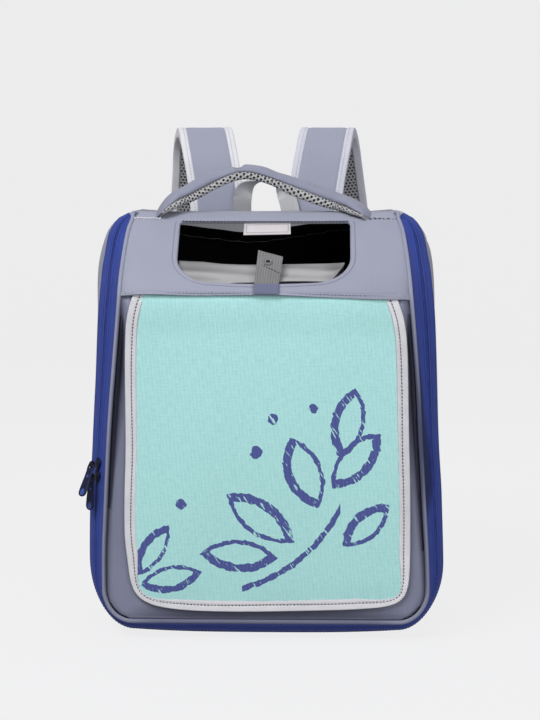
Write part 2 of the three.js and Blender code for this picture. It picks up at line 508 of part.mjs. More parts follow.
// Two sliders on the left side of the band, each with an eye that carries a moulded pull
const bandAt = (z) => steps(200, 0, SEAM_SHARE.side / 2).find((t) => bandSheet(t, 0.5).z <= z);
const sliderOutline = new THREE.Shape();
const [sliderSide, sliderEnd] = [SLIDER.wide / 2, SLIDER.long / 2];
sliderOutline.setFromPoints([[1, -1], [1, 1], [-1, 1], [-1, -1]].flatMap(([right, up]) => {
  const onSide = new THREE.Vector2(sliderSide * right, (sliderEnd - SLIDER.chamfer) * up);
  const onEnd = new THREE.Vector2((sliderSide - SLIDER.chamfer) * right, sliderEnd * up);
  return right * up > 0 ? [onSide, onEnd] : [onEnd, onSide];
}));
const sliderBody = new THREE.ExtrudeGeometry(sliderOutline, { depth: SLIDER.high, bevelEnabled: false });
const eyeOutline = new THREE.Shape().absarc(0, 0, EYE.outer, 0, 2 * Math.PI);
eyeOutline.holes.push(new THREE.Path().absarc(0, 0, EYE.inner, 0, 2 * Math.PI));
const eyeHeight = SLIDER.high + EYE.outer - EYE.sunk;
const eyeCut = { depth: EYE.wide, bevelEnabled: false, curveSegments: 7 };
const eye = new THREE.ExtrudeGeometry(eyeOutline, eyeCut)
  .translate(0, 0, -EYE.wide / 2).rotateY(Math.PI / 2 + degToRad(SLIDER.twist)).translate(0, 0, eyeHeight);
const sliderSolid = join(sliderBody, eye);
const [bar, pullHalf] = [PULL.thick / 2, PULL.wide / 2];
const pullOutline = new THREE.Shape();
pullOutline.moveTo(-PULL.neck / 2, bar);
pullOutline.lineTo(-pullHalf, -PULL.long + pullHalf);
pullOutline.absarc(0, -PULL.long + pullHalf, pullHalf, Math.PI, 2 * Math.PI);
pullOutline.lineTo(PULL.neck / 2, bar);
const throatHalf = EYE.wide / 2 + PULL.play;
pullOutline.holes.push(new THREE.Path([[-throatHalf, -bar], [throatHalf, -bar], [throatHalf, -PULL.throat],
  [-throatHalf, -PULL.throat]].map(([x, y]) => new THREE.Vector2(x, y))));
const pullCut = { depth: PULL.thick, bevelEnabled: false, curveSegments: 6 };
const pullSolid = new THREE.ExtrudeGeometry(pullOutline, pullCut).translate(0, 0, -bar);
for (const [place, drop, tilt] of [['upper', 0, PULL.tilt], ['lower', SLIDER.pitch, 0]]) {
  const t = bandAt(SLIDER.z - drop);
  const up = bandSheet(t - 0.01, 0.5).sub(bandSheet(t + 0.01, 0.5)).normalize();
  const inBand = bandSeam(t).sub(frontSeam(t));
  const out = new THREE.Vector3().crossVectors(up, inBand).normalize();
  const slider = new THREE.Group();
  slider.applyMatrix4(new THREE.Matrix4().makeBasis(new THREE.Vector3().crossVectors(up, out), up, out));
  slider.position.copy(bandSheet(t, 0.5, ZIP.proud)).addScaledVector(out, CLEAR);
  bag.add(slider);
  piece(`zip_slider_${place}`, sliderSolid, COLOURS.moulded, { roughness: 0.4, parent: slider });
  const hinge = new THREE.Group();
  hinge.position.z = eyeHeight;
  hinge.rotation.y = degToRad(SLIDER.twist);
  slider.add(hinge);
  const pull = piece(`zip_pull_${place}`, pullSolid, COLOURS.moulded, { roughness: 0.45, parent: hinge });
  pull.rotation.x = -degToRad(tilt);
}

export default bag;
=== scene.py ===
import json
import math

import bpy
import numpy as np
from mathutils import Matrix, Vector


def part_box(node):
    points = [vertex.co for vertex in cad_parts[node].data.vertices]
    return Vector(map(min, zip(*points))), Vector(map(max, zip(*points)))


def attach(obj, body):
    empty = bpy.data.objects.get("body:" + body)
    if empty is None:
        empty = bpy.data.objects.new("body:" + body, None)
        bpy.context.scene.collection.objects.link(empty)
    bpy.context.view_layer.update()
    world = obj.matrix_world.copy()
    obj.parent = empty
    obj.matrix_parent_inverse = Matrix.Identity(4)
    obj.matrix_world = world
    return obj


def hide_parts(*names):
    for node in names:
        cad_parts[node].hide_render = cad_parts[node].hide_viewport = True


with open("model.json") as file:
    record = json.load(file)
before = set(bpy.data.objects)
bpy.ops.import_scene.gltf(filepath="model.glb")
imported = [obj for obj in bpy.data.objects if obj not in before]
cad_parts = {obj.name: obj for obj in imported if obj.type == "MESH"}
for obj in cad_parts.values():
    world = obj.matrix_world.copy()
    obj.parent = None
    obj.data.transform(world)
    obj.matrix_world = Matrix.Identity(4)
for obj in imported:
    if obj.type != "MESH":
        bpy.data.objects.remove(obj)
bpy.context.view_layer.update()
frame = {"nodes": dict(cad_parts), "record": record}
mm = 0.001  # shapes are worked out in millimetres
print("frame loaded:", len(frame["nodes"]), "solids")


# Numbers along lines and tables

def tableAt(rows, at):
    # value of a two-column table at each place: cubics between the rows, with slopes that never overshoot
    places, values = np.array(rows, float).T
    gaps = np.diff(places)
    rises = np.diff(values) / gaps
    product = rises[1:] * rises[:-1]
    total = rises[1:] + rises[:-1]
    middle = np.where(product > 0, 2 * product / np.where(total == 0, 1, total), 0)
    slopes = np.concatenate([rises[:1], middle, rises[-1:]])
    at = np.clip(at, places[0], places[-1])
    low = np.clip(np.searchsorted(places, at) - 1, 0, len(gaps) - 1)
    t = (at - places[low]) / gaps[low]
    start = (1 + 2 * t) * (1 - t) ** 2 * values[low] + t * (1 - t) ** 2 * gaps[low] * slopes[low]
    end = t * t * (3 - 2 * t) * values[low + 1] + t * t * (t - 1) * gaps[low] * slopes[low + 1]
    return start + end


def softRamp(distance, knee):
    # zero before the knee, the distance after it, rounded between
    return 0.5 * (distance + np.sqrt(distance * distance + knee * knee))


def smoothStep(low, high, at):
    t = np.clip((at - low) / (high - low), 0, 1)
    return t * t * (3 - 2 * t)


def unit(vectors):
    return vectors / np.maximum(np.linalg.norm(vectors, axis=-1, keepdims=True), 1e-9)


def lengthsAlong(points):
    # distance from the first point to each point of a line
    return np.concatenate([[0], np.cumsum(np.linalg.norm(np.diff(points, axis=0), axis=1))])


def resample(points, count):
    # the same line at even steps of length
    length = lengthsAlong(points)
    even = np.linspace(0, length[-1], count)
    return np.stack([np.interp(even, length, column) for column in points.T], 1)


def lineThrough(points, count):
    # a smooth line through points: cubics over the square roots of the chords, then even steps of length
    points = np.array(points, float)
    knots = np.concatenate([[0], np.cumsum(np.sqrt(np.linalg.norm(np.diff(points, axis=0), axis=1)))])
    slopes = np.gradient(points, knots, axis=0)
    fine = np.linspace(0, knots[-1], 60 * len(points))
    low = np.clip(np.searchsorted(knots, fine) - 1, 0, len(knots) - 2)
    gap = (knots[low + 1] - knots[low])[:, None]
    t = (fine - knots[low])[:, None] / gap
    dense = ((1 + 2 * t) * (1 - t) ** 2 * points[low] + t * (1 - t) ** 2 * gap * slopes[low]
             + t * t * (3 - 2 * t) * points[low + 1] + t * t * (t - 1) * gap * slopes[low + 1])
    return resample(dense, count)


def framesOn(line, across):
    # directions across and up at each point of a line, square to its run
    along = unit(np.gradient(line, axis=0))
    across = np.broadcast_to(np.array(across, float), line.shape)
    across = unit(across - along * np.sum(across * along, 1, keepdims=True))
    return across, np.cross(along, across)


def normalsOf(grid, middle=(0, 0, 205)):
    # unit normals of a grid of points, pointing away from the middle of the bag
    normal = unit(np.cross(np.gradient(grid, axis=1), np.gradient(grid, axis=0)))
    outward = np.sum(normal * (grid - np.array(middle, float)), -1, keepdims=True)
    return np.where(outward < 0, -normal, normal)


# Meshes from grids of points

def carry(line, across, up, profile):
    # a profile of (across, up) columns carried along a line
    profile = np.broadcast_to(profile, (len(line),) + np.shape(profile)[-2:])
    return line[:, None] + across[:, None] * profile[..., :1] + up[:, None] * profile[..., 1:]


def roundedBar(left, right, low, high, corner, steps=4):
    # outline of a bar with rounded corners, wound so that each point faces its partner across the bar
    turn = np.linspace(0, np.pi / 2, steps)
    arcs = [(right - corner, high - corner, np.pi / 2 - turn), (right - corner, low + corner, -turn),
            (left + corner, low + corner, -np.pi / 2 - turn), (left + corner, high - corner, np.pi - turn)]
    return np.concatenate([np.stack([x + corner * np.cos(a), z + corner * np.sin(a)], 1) for x, z, a in arcs])


def shell(outer, thickness, lifts=0):
    # a wall: the outer grid, then the inner one set in along the normals and run backwards
    normal = normalsOf(outer)
    depth = np.broadcast_to(np.asarray(thickness, float), outer.shape[:2])[..., None]
    return np.concatenate([outer + normal * lifts, (outer - normal * depth)[:, ::-1]], 1)


def gridFaces(grid, wrapRows=False, wrapCols=True, uv=None):
    # points, quads and their places on the cloth, with the two ends closed where only the columns wrap
    rows, cols = grid.shape[:2]
    index = np.arange(rows * cols).reshape(rows, cols)
    closed = grid
    if wrapRows:
        index = np.vstack([index, index[:1]])
        closed = np.concatenate([closed, closed[:1]], 0)
    if wrapCols:
        index = np.hstack([index, index[:, :1]])
        closed = np.concatenate([closed, closed[:, :1]], 1)
    if uv is None:
        along = np.linalg.norm(np.diff(closed, axis=0), axis=-1).mean(1)
        around = np.linalg.norm(np.diff(closed, axis=1), axis=-1).mean(0)
        along = np.concatenate([[0], np.cumsum(along)])
        around = np.concatenate([[0], np.cumsum(around)])
        uv = np.stack(np.meshgrid(along, around, indexing="ij"), -1)
    else:
        uv = np.concatenate([uv, uv[:, :1]], 1) if wrapCols else uv
        uv = np.concatenate([uv, uv[:1]], 0) if wrapRows else uv
    corners = [np.s_[:-1, :-1], np.s_[:-1, 1:], np.s_[1:, 1:], np.s_[1:, :-1]]
    quads = np.stack([index[c] for c in corners], -1).reshape(-1, 4)
    places = np.stack([uv[c] for c in corners], -2).reshape(-1, 4, 2)
    if wrapCols and not wrapRows:
        j = np.arange(cols // 2 - 1)
        pairs = np.stack([j + 1, j, cols - 1 - j, cols - 2 - j], -1)
        quads = np.concatenate([quads, index[0][pairs], index[-1][pairs[:, ::-1]]])
        places = np.concatenate([places, uv[0][pairs], uv[-1][pairs[:, ::-1]]])
    points = grid.reshape(-1, 3)
    first, second, third, fourth = (points[quads[:, k]] for k in range(4))
    volume = np.sum(first * np.cross(second, third)) + np.sum(first * np.cross(third, fourth))
    if volume < 0:
        quads, places = quads[:, ::-1], places[:, ::-1]
    return points, quads, places


def addPiece(name, parts, material, nodes=(), bodyName="bag", sharp=40, shade=None):
    # one mesh of all its parts, in place of the solids that it stands for
    parts = parts if isinstance(parts, list) else [parts]
    starts = np.cumsum([0] + [len(points) for points, _, _ in parts])
    points = np.concatenate([part[0] for part in parts])
    quads = np.concatenate([part[1] + start for part, start in zip(parts, starts)])
    places = np.concatenate([part[2] for part in parts])
    mesh = bpy.data.meshes.new(name)
    mesh.from_pydata((points * mm).tolist(), [], quads.tolist())
    mesh.uv_layers.new(name="cloth").uv.foreach_set("vector", (places * mm).astype(np.float32).ravel())
    if shade is not None:
        mesh.attributes.new("shade", "FLOAT", "POINT").data.foreach_set("value", shade.astype(np.float32).ravel())
    mesh.shade_smooth()
    mesh.set_sharp_from_angle(angle=math.radians(sharp))
    mesh.materials.append(material)
    piece = bpy.data.objects.new(name, mesh)
    bpy.context.scene.collection.objects.link(piece)
    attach(piece, bodyName)
    if nodes:
        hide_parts(*nodes)
    return piece


stitch = {"length": 2.3, "pitch": 3.3, "wide": 0.38, "high": 0.3}


def stitchesOn(line, up, length=stitch["length"], pitch=stitch["pitch"], wide=stitch["wide"], high=stitch["high"]):
    # a row of small spindles laid end to end along a line, each fatter in its middle
    run = lengthsAlong(line)
    count = max(2, int(run[-1] / pitch))
    middles = (np.arange(count) + 0.5) * run[-1] / count
    at = lambda values, where: np.stack([np.interp(where, run, column) for column in values.T], 1)
    centre = at(line, middles)
    along = unit(at(line, middles + 0.3) - at(line, middles - 0.3))
    lift = unit(at(np.broadcast_to(up, line.shape), middles))
    across = unit(np.cross(along, lift))
    lift = np.cross(across, along)
    shares = np.array([-0.5, -0.3, 0, 0.3, 0.5])
    girth = np.array([0.25, 0.85, 1, 0.85, 0.25])
    angle = np.arange(6) * np.pi / 3
    ringA = girth[:, None] * np.cos(angle) * wide
    ringB = girth[:, None] * np.sin(angle) * high
    spindle = (shares[None, :, None, None] * length * along[:, None, None]
               + ringA[None, :, :, None] * across[:, None, None] + ringB[None, :, :, None] * lift[:, None, None])
    points = centre[:, None, None] + spindle
    _, quads, places = gridFaces(points[0])
    offsets = np.arange(count)[:, None, None] * points[0].size // 3
    return points.reshape(-1, 3), (quads[None] + offsets).reshape(-1, 4), np.tile(places, (count, 1, 1))


# Materials

class Wire:
    # a socket of a material's nodes: sums on it add Math nodes
    def __init__(self, tree, socket=None):
        self.tree = tree
        self.socket = socket

    def make(self, kind, settings=None, inputs=None, output=0):
        node = self.tree.nodes.new("ShaderNode" + kind)
        for key, value in (settings or {}).items():
            if key == "stops":
                for stop, (place, shade) in zip(node.color_ramp.elements, value):
                    stop.position = place
                    stop.color = shade
            else:
                setattr(node, key, value)
        for key, value in (inputs or {}).items():
            if isinstance(value, Wire):
                self.tree.links.new(value.socket, node.inputs[key])
            else:
                node.inputs[key].default_value = value
        return Wire(self.tree, node.outputs[output])

    def math(self, operation, *values):
        return self.make("Math", {"operation": operation}, dict(enumerate(values)))

    def __add__(self, other):
        return self.math("ADD", self, other)

    def __sub__(self, other):
        return self.math("SUBTRACT", self, other)

    def __rsub__(self, other):
        return self.math("SUBTRACT", other, self)

    def __mul__(self, other):
        return self.math("MULTIPLY", self, other)

    def __truediv__(self, other):
        return self.math("DIVIDE", self, other)

    def __pow__(self, other):
        return self.math("POWER", self, other)

    def __gt__(self, other):
        return self.math("GREATER_THAN", self, other)

    def __lt__(self, other):
        return self.math("LESS_THAN", self, other)

    def __abs__(self):
        return self.math("ABSOLUTE", self)

    __radd__ = __add__
    __rmul__ = __mul__

    def sine(self):
        return self.math("SINE", self)

    def larger(self, other):
        return self.math("MAXIMUM", self, other)

    def smaller(self, other):
        return self.math("MINIMUM", self, other)

    def between(self, low, high):
        # 0 below low, 1 above high, smooth between
        settings = {"interpolation_type": "SMOOTHSTEP"}
        return self.make("MapRange", settings, {"Value": self, "From Min": low, "From Max": high})

    def noise(self, scale, detail=2.0, where=None):
        inputs = {"Scale": scale, "Detail": detail}
        if where:
            inputs["Vector"] = where
        return self.make("TexNoise", {"noise_dimensions": "3D"}, inputs)

    def blend(self, first, second, share):
        # a colour between two, by share
        settings = {"data_type": "RGBA"}
        return self.make("Mix", settings, {"Factor": share, 6: first, 7: second}, output=2)


def colour(red, green, blue):
    # screen values from 0 to 255 as the light that they stand for
    values = np.array([red, green, blue]) / 255
    linear = np.where(values <= 0.04045, values / 12.92, ((values + 0.055) / 1.055) ** 2.4)
    return (*linear.tolist(), 1.0)


def newMaterial(name, **constants):
    material = bpy.data.materials.new(name)
    material.use_nodes = True
    shader = material.node_tree.nodes["Principled BSDF"]
    for key, value in constants.items():
        shader.inputs[key.replace("_", " ")].default_value = value
    return material, Wire(material.node_tree), shader


def feed(wire, shader, key):
    wire.tree.links.new(wire.socket, shader.inputs[key])


def clothPlaces(w):
    # millimetres along and across the cloth
    uv = w.make("TexCoord", output="UV")
    split = w.make("SeparateXYZ", inputs={0: uv})
    return split * 1000, Wire(w.tree, split.socket.node.outputs[1]) * 1000


def bumpOf(w, height, distance, strength=1.0):
    return w.make("Bump", inputs={"Height": height, "Distance": distance, "Strength": strength})


def clothMaterial(name, base, dark, pitch=2.4, slub=0.05, rough=0.85, depth=0.00008, sheen=0.06, shaded=None, glow=None):
    # fine twill: slanting ribs, with faint slubs along the cloth and soft mottling; painted shade where the shade
    # attribute is set, and a painted glow of light on the same attribute
    material, w, shader = newMaterial(name, Sheen_Weight=sheen, Sheen_Roughness=0.5, Specular_IOR_Level=0.15)
    along, across = clothPlaces(w)
    twill = ((along * 0.8 + across * 0.6) * (2 * math.pi / pitch)).sine() * 0.5 + 0.5
    place = w.make("TexCoord", output="Object")
    mottle = w.noise(22.0, 3.0, place)
    slubs = w.noise(1.0, 2.0, w.make("CombineXYZ", inputs={0: along * 0.5, 1: across * 0.03, 2: 0.0}))
    share = (mottle * 0.55 + slubs * 0.3 + twill * 0.24 - 0.04).between(0.1, 1.0)
    cloth = w.blend(dark, base, share)
    if shaded:
        cloth = w.blend(cloth, shaded, w.make("Attribute", {"attribute_name": "shade"}, output=2))
    # painted light: the cloth glows where the shade attribute is set, standing in for light that falls on it
    if glow:
        seen = w.make("Attribute", {"attribute_name": "shade"}, output=2)
        feed(w.blend((0, 0, 0, 1), glow, seen), shader, "Emission Color")
        shader.inputs["Emission Strength"].default_value = 1.0
    feed(cloth, shader, "Base Color")
    feed(rough + (mottle - 0.5) * 0.12, shader, "Roughness")
    feed(bumpOf(w, twill + slubs * slub * 8, depth), shader, "Normal")
    return material


lavender = clothMaterial("lavenderCloth", colour(152, 155, 172), colour(143, 146, 163))
# the lavender cloth made darker for the front panel: painted shade, with deeper painted shade in its grooves from the
# shade attribute
frontCloth = clothMaterial("frontCloth", colour(136, 139, 161), colour(124, 127, 148), shaded=colour(42, 43, 61))
# the back panel's cloth, with a painted glow of light on its inside
backCloth = clothMaterial("backCloth", colour(152, 155, 172), colour(143, 146, 163), glow=colour(114, 115, 118))
topCloth = clothMaterial("topCloth", colour(152, 155, 172), colour(143, 146, 163), shaded=colour(84, 86, 100))
# the lavender cloth made darker for the handle's cover: painted shade
handleCloth = clothMaterial("handleCloth", colour(142, 145, 163), colour(131, 134, 152))
pipingCloth = clothMaterial("pipingCloth", colour(152, 155, 174), colour(136, 139, 160), pitch=1.2, shaded=colour(70, 74, 98))
print("cloth materials made")


# The seams of the body, as the solids have them, with rounded knees

seamShare = {"side": 0.66, "corner": 0.86}
frontSeam = {
    "top": 403, "bottom": 17.5, "run": 27, "rise": 31, "y": -112, "crestY": -40, "slopeZ": 338, "lean": 1,
    "sides": [(17.5, 153.5), (70, 153.5), (137, 151), (231, 146), (326, 139.5), (360, 137.5), (390, 134), (403, 130)],
}
bandSeam = {
    "top": 408, "bottom": 0, "run": 44, "rise": 75, "y": -80, "crestY": -22, "slopeZ": 318,
    "sides": [(0, 171), (75, 171), (137, 170), (184, 167.5), (231, 165.5), (326, 162.5), (352, 161), (370, 158.5),
              (385, 156), (392, 153.5), (400, 148.5), (405.5, 142), (408, 136)],
    "lift": 3.0, "lean": 1,
}
backSeam = {
    "top": 410, "bottom": 0, "run": 45, "rise": 60, "y": 115, "crestY": 115, "slopeZ": 400,
    "sides": [(0, 170), (90, 170), (330, 169), (370, 167), (390, 162), (402, 154), (408, 144), (410, 134)],
}


leanLeft = [(0, 0.8), (190, 0.8), (222, 1.1), (250, 1.7), (280, 2.1), (327, 2.6), (360, 1.8), (403, 0)]
leanRight = [(0, 3.0), (50, 4.0), (80, 3.2), (120, 2.5), (190, 1.9), (250, 2.1), (290, 1.9), (327, 1.2), (360, 0.5), (403, 0)]


def leanOf(x, z):
    # how far the stuffed front stands to the right of the middle, in millimetres
    right = smoothStep(-100, 100, x)
    return tableAt(leanLeft, z) * (1 - right) + tableAt(leanRight, z) * right


def seamY(seam, z):
    # upright at the seam's depth, then leaning back in a straight slope to its crest
    rise = seam["top"] - seam["slopeZ"]
    return seam["y"] + (seam["crestY"] - seam["y"]) * softRamp(z - seam["slopeZ"], 8) / softRamp(rise, 8)


def seamLine(seam, t):
    # a U from the left crest at t = 0 down the side, round a quarter ellipse, along the base, and up again
    t = np.asarray(t, float)
    s = 1 - np.abs(2 * t - 1)
    side, corner = seamShare["side"], seamShare["corner"]
    bend = seam["bottom"] + seam["rise"]
    inner = tableAt(seam["sides"], bend) - seam["run"]
    turn = np.pi / 2 * np.clip((s - side) / (corner - side), 0, 1)
    z = np.where(s < side, seam["top"] + (bend - seam["top"]) * s / side, bend - seam["rise"] * np.sin(turn))
    x = np.where(s < side, tableAt(seam["sides"], z), inner + seam["run"] * np.cos(turn))
    x = np.where(s > corner, inner * (1 - s) / (1 - corner), x)
    z = z + seam.get("lift", 0) * np.clip(x / inner, 0, 1) ** 3 * smoothStep(0, 0.1, s - side)
    x = x * np.sign(t - 0.5 + 1e-9)
    return np.stack([x + seam.get("lean", 0) * leanOf(x, z), seamY(seam, z), z], -1)


def halfWidth(seam, z, bottom=None, inset=0.0):
    # half the width between the seam's sides at a height, with its lower corners rounded
    low = seam["bottom"] if bottom is None else bottom
    below = np.clip((low + seam["rise"] - z) / seam["rise"], 0, 1)
    return tableAt(seam["sides"], z) - seam["run"] * (1 - np.sqrt(1 - below * below)) - inset


# stations along the U, closer together at the corners and the crests
uSteps = np.concatenate([np.linspace(0, 0.06, 14)[:-1], np.linspace(0.06, 0.33, 60)[:-1],
                         np.linspace(0.33, 0.43, 36)[:-1], np.linspace(0.43, 0.5, 24)])
uSteps = np.concatenate([uSteps, 1 - uSteps[-2::-1]])


# Front panel: a padded sheet that dips to the piping and swells in its middle

panel = {
    "edgeY": -109.8, "bulge": 4.0, "bottom": 18.5, "top": 328.7, "tuck": 332, "thick": 3.0,
    "dip": [(17, 1.7), (60, 2.4), (120, 3.2), (160, 5), (193, 6.5), (250, 8), (290, 6), (325, 2)],
    "dipReach": [(17, 4), (120, 4.5), (193, 8), (250, 11), (290, 8), (325, 4)],
    # painted shade on the front panel: its strength by height, an even painted shade by height, and how far it reaches
    # in from each side
    "shade": [(17, 1), (110, 1), (150, 1), (290, 1), (312, 0.9), (325, 0.55), (332, 0.4)],
    "base": [(17, 0.14), (60, 0.14), (136, 0.24), (193, 0.24), (250, 0.15), (300, 0.05), (320, 0)],
    "shadeLeft": [(17, 2.4), (79, 2.6), (108, 3.0), (136, 4.0), (193, 9), (222, 12), (250, 12), (279, 8), (298, 5), (329, 2)],
    "shadeRight": [(17, 2.6), (50, 3.4), (79, 4.6), (117, 6.5), (155, 8.5), (193, 11), (222, 12), (250, 10), (289, 5), (329, 2)],
}


def frontY(x, z):
    # a shallow dome over the seam's plane
    side = x / tableAt(frontSeam["sides"], z)
    rise = np.clip((z - frontSeam["bottom"]) / (panel["top"] - frontSeam["bottom"]), 0, 1)
    return panel["edgeY"] - panel["bulge"] * (1 - side * side) * np.sin(np.pi * rise)


def buildFrontPanel():
    rows = np.concatenate([panel["bottom"] + 38 * (1 - np.cos(np.linspace(0, np.pi / 2, 26)[:-1])),
                           np.linspace(panel["bottom"] + 38, panel["tuck"], 90)])
    shares = np.sin(np.linspace(-np.pi / 2, np.pi / 2, 110))
    z = np.broadcast_to(rows[:, None], (len(rows), len(shares)))
    half = halfWidth(frontSeam, rows, frontSeam["bottom"] + 0.9, 1.2)[:, None]
    x = half * shares
    edge = np.minimum(half - np.abs(x), z - panel["bottom"])
    ripple = 0.5 * np.sin(z / 17 + x / 60) * np.exp(-edge / 14) + 0.35 * np.sin(x / 23 + z / 41)
    raised = smoothStep(288, 324, z)
    groove = tableAt(panel["dip"], z) * np.exp(-(edge / tableAt(panel["dipReach"], z)) ** 2)
    y = frontY(x, z) + 1.0 + groove * (1 - 0.9 * np.exp(-(edge / 2.2) ** 2)) + ripple * smoothStep(0, 6, edge)
    y = y - 5.5 * raised * smoothStep(120, 131, np.abs(x)) * smoothStep(0, 9, edge) * smoothStep(-332, -324, -z)
    outer = np.stack([x + leanOf(x, z), y, z], -1)
    uv = np.stack([x + 200, z], -1)
    faces = gridFaces(shell(outer, panel["thick"]), uv=np.concatenate([uv, uv[:, ::-1]], 1))
    # painted shade: dark along the piping where the cloth dips behind it, an even painted shade over the panel, and a
    # painted shadow under the curtain's lower edge
    reach = np.where(x < 0, tableAt(panel["shadeLeft"], z), tableAt(panel["shadeRight"], z))
    shade = np.maximum(tableAt(panel["shade"], z) * np.exp(-(edge / reach) ** 2), tableAt(panel["base"], z))
    shade = np.maximum(shade, 0.7 * smoothStep(-38, -27, -z) * np.clip(1 - (x / 140) ** 4, 0, 1))
    shade = np.concatenate([shade, shade[:, ::-1]], 1)
    return addPiece("frontPanel", faces, frontCloth, ["front_panel"], shade=shade)


frontPanel = buildFrontPanel()


# Window panel: a ring of cloth between the window's edge and the seams, folded over at the window

window = {"half": 83, "low": 18, "high": 106.8, "corner": 36, "topCorner": 5, "sag": 1.5, "hemZ": 329, "hemY": -117.5,
          "knee": 9, "top": 109.6, "run": (0.764, 0.645), "centre": 60, "thick": 3.0, "fold": 4.4,
          "hem": [(-140, 1.8), (-113, 3.8), (-64, 2.8), (0, 3.3), (52, 1.6), (101, -0.5), (140, -1.4)]}


def crestDip(x):
    # the top edge sags over the window
    return 1.6 * np.clip(1 - (x / 112) ** 4, 0, 1)


def slopePoint(x, w):
    # w runs up the panel: upright from the hem to the knee, then up the slope; its sides turn in to the piping
    run = softRamp(w - window["knee"], 8)
    bow = tableAt(window["hem"], x) * np.clip(1 - w / 16, 0, 1) ** 2
    z = window["hemZ"] + w - run * (1 - window["run"][1]) + bow
    y = window["hemY"] + 0.5 * np.clip(w / window["knee"], 0, 1) + run * window["run"][0]
    z = z - crestDip(x) * smoothStep(80, 109, w)
    side = np.abs(x) / halfWidth(frontSeam, z, inset=1.7)
    y = y + (seamY(frontSeam, z) - y) * np.clip(side, 0, 1) ** 30
    return np.stack([x + leanOf(x, z) * smoothStep(90, 135, np.abs(x)), y, z], -1)


def windowOutline():
    # the D: a wide base with large round corners and a little sag, and a straight top
    low, high, half, corner, tip = (window[k] for k in ("low", "high", "half", "corner", "topCorner"))
    turn = np.linspace(0, np.pi / 2, 24)
    base = np.linspace(-half + corner, half - corner, 40)
    parts = [np.stack([base, low - window["sag"] * (1 - (base / (half - corner)) ** 2)], 1),
             np.stack([half - corner + corner * np.sin(turn), low + corner - corner * np.cos(turn)], 1),
             np.stack([half - tip + tip * np.cos(turn), high - tip + tip * np.sin(turn)], 1),
             np.stack([-half + tip - tip * np.sin(turn), high - tip + tip * np.cos(turn)], 1),
             np.stack([-half + corner - corner * np.cos(turn), low + corner - corner * np.sin(turn)], 1)]
    return resample(np.concatenate(parts + [parts[0][:1]]), 400)[:-1]


def windowRing(angles):
    # points of the window's edge and of the panel's border on rays from the middle of the window
    outline = windowOutline() - [0, window["centre"]]
    bearing = np.unwrap(np.arctan2(outline[:, 1], outline[:, 0]))
    order = np.argsort(bearing)
    radius = np.interp(angles, bearing[order], np.hypot(*outline[order].T), period=2 * np.pi)
    ray = np.stack([np.cos(angles), np.sin(angles)], 1)
    reach = np.linspace(0, 220, 2201)
    x = ray[:, :1] * reach
    w = window["centre"] + ray[:, 1:] * reach
    z = slopePoint(np.zeros_like(w), np.clip(w, 0, window["top"]))[..., 2]
    inside = (np.abs(x) <= halfWidth(frontSeam, z, inset=1.7)) & (w >= 0) & (w <= window["top"])
    far = reach[np.argmin(inside, axis=1)] - 0.1
    return radius, far, ray


def buildWindowPanel():
    z = window["hemZ"] - 0.0
    cornersAt = [math.atan2(w - window["centre"], s * float(halfWidth(frontSeam, np.array(h), inset=1.7)))
                 for w, h in ((0, z), (window["top"], 403)) for s in (-1, 1)]
    angles = np.sort(np.concatenate([np.linspace(-np.pi, np.pi, 420)[:-1], cornersAt]))
    radius, far, ray = windowRing(angles)
    hem = [(0, -1.5), (0.2, -0.6), (0.8, 0.15), (1.8, 0.5), (4.0, 0.5), (4.7, 0.2), (5.1, -0.55), (5.5, 0.0),
           (6.5, 0.1), (8.5, 0.0)]
    shares = 1 - (1 - np.linspace(0, 1, 44)[1:]) ** 1.7
    lifts = np.concatenate([np.zeros(len(shares) - 2), [-0.3, -1.2]])
    steps, hemLift = np.array(hem).T
    room = np.minimum(1, 0.72 * (far - radius) / 8.5)[:, None]
    reach = np.concatenate([radius[:, None] + steps * room,
                            radius[:, None] + 8.5 * room + (far[:, None] - radius[:, None] - 8.5 * room) * shares], 1)
    flat = np.stack([ray[:, :1] * reach, window["centre"] + ray[:, 1:] * reach], -1)
    surface = slopePoint(flat[..., 0], flat[..., 1])
    wave = 0.7 * np.sin(flat[..., 0] / 19 + 1) * np.exp(-flat[..., 1] / 16)
    fold = 0.55 * smoothStep(-0.6, 0.6, window["fold"] - flat[..., 1]) - 0.5 * np.exp(-(flat[..., 1] - window["fold"]) ** 2 / 0.6)
    normal = normalsOf(surface)
    lift = np.concatenate([hemLift, lifts]) + wave * smoothStep(0, 8, reach - radius[:, None]) + fold
    outer = surface + normal * lift[..., None]
    wall = np.concatenate([[2.0, 2.6], np.full(len(steps) + len(shares) - 2, 3.0)])
    inner = surface - normal * (wall * (1 - 0.5 * smoothStep(-9, -3, -flat[..., 1])))[..., None]
    loop = np.concatenate([outer, inner[:, ::-1]], 1)
    uv = np.concatenate([flat, flat[:, ::-1]], 1) + 200
    # painted shade: the window panel darker towards the right and near the hem
    dim = smoothStep(40, 130, flat[..., 0]) * (0.06 + 0.1 * smoothStep(-40, -5, -flat[..., 1]))
    dim = np.concatenate([dim, dim[:, ::-1]], 1)
    return addPiece("windowPanel", gridFaces(loop, True, True, uv), topCloth, ["window_panel"], shade=dim)


windowPanel = buildWindowPanel()


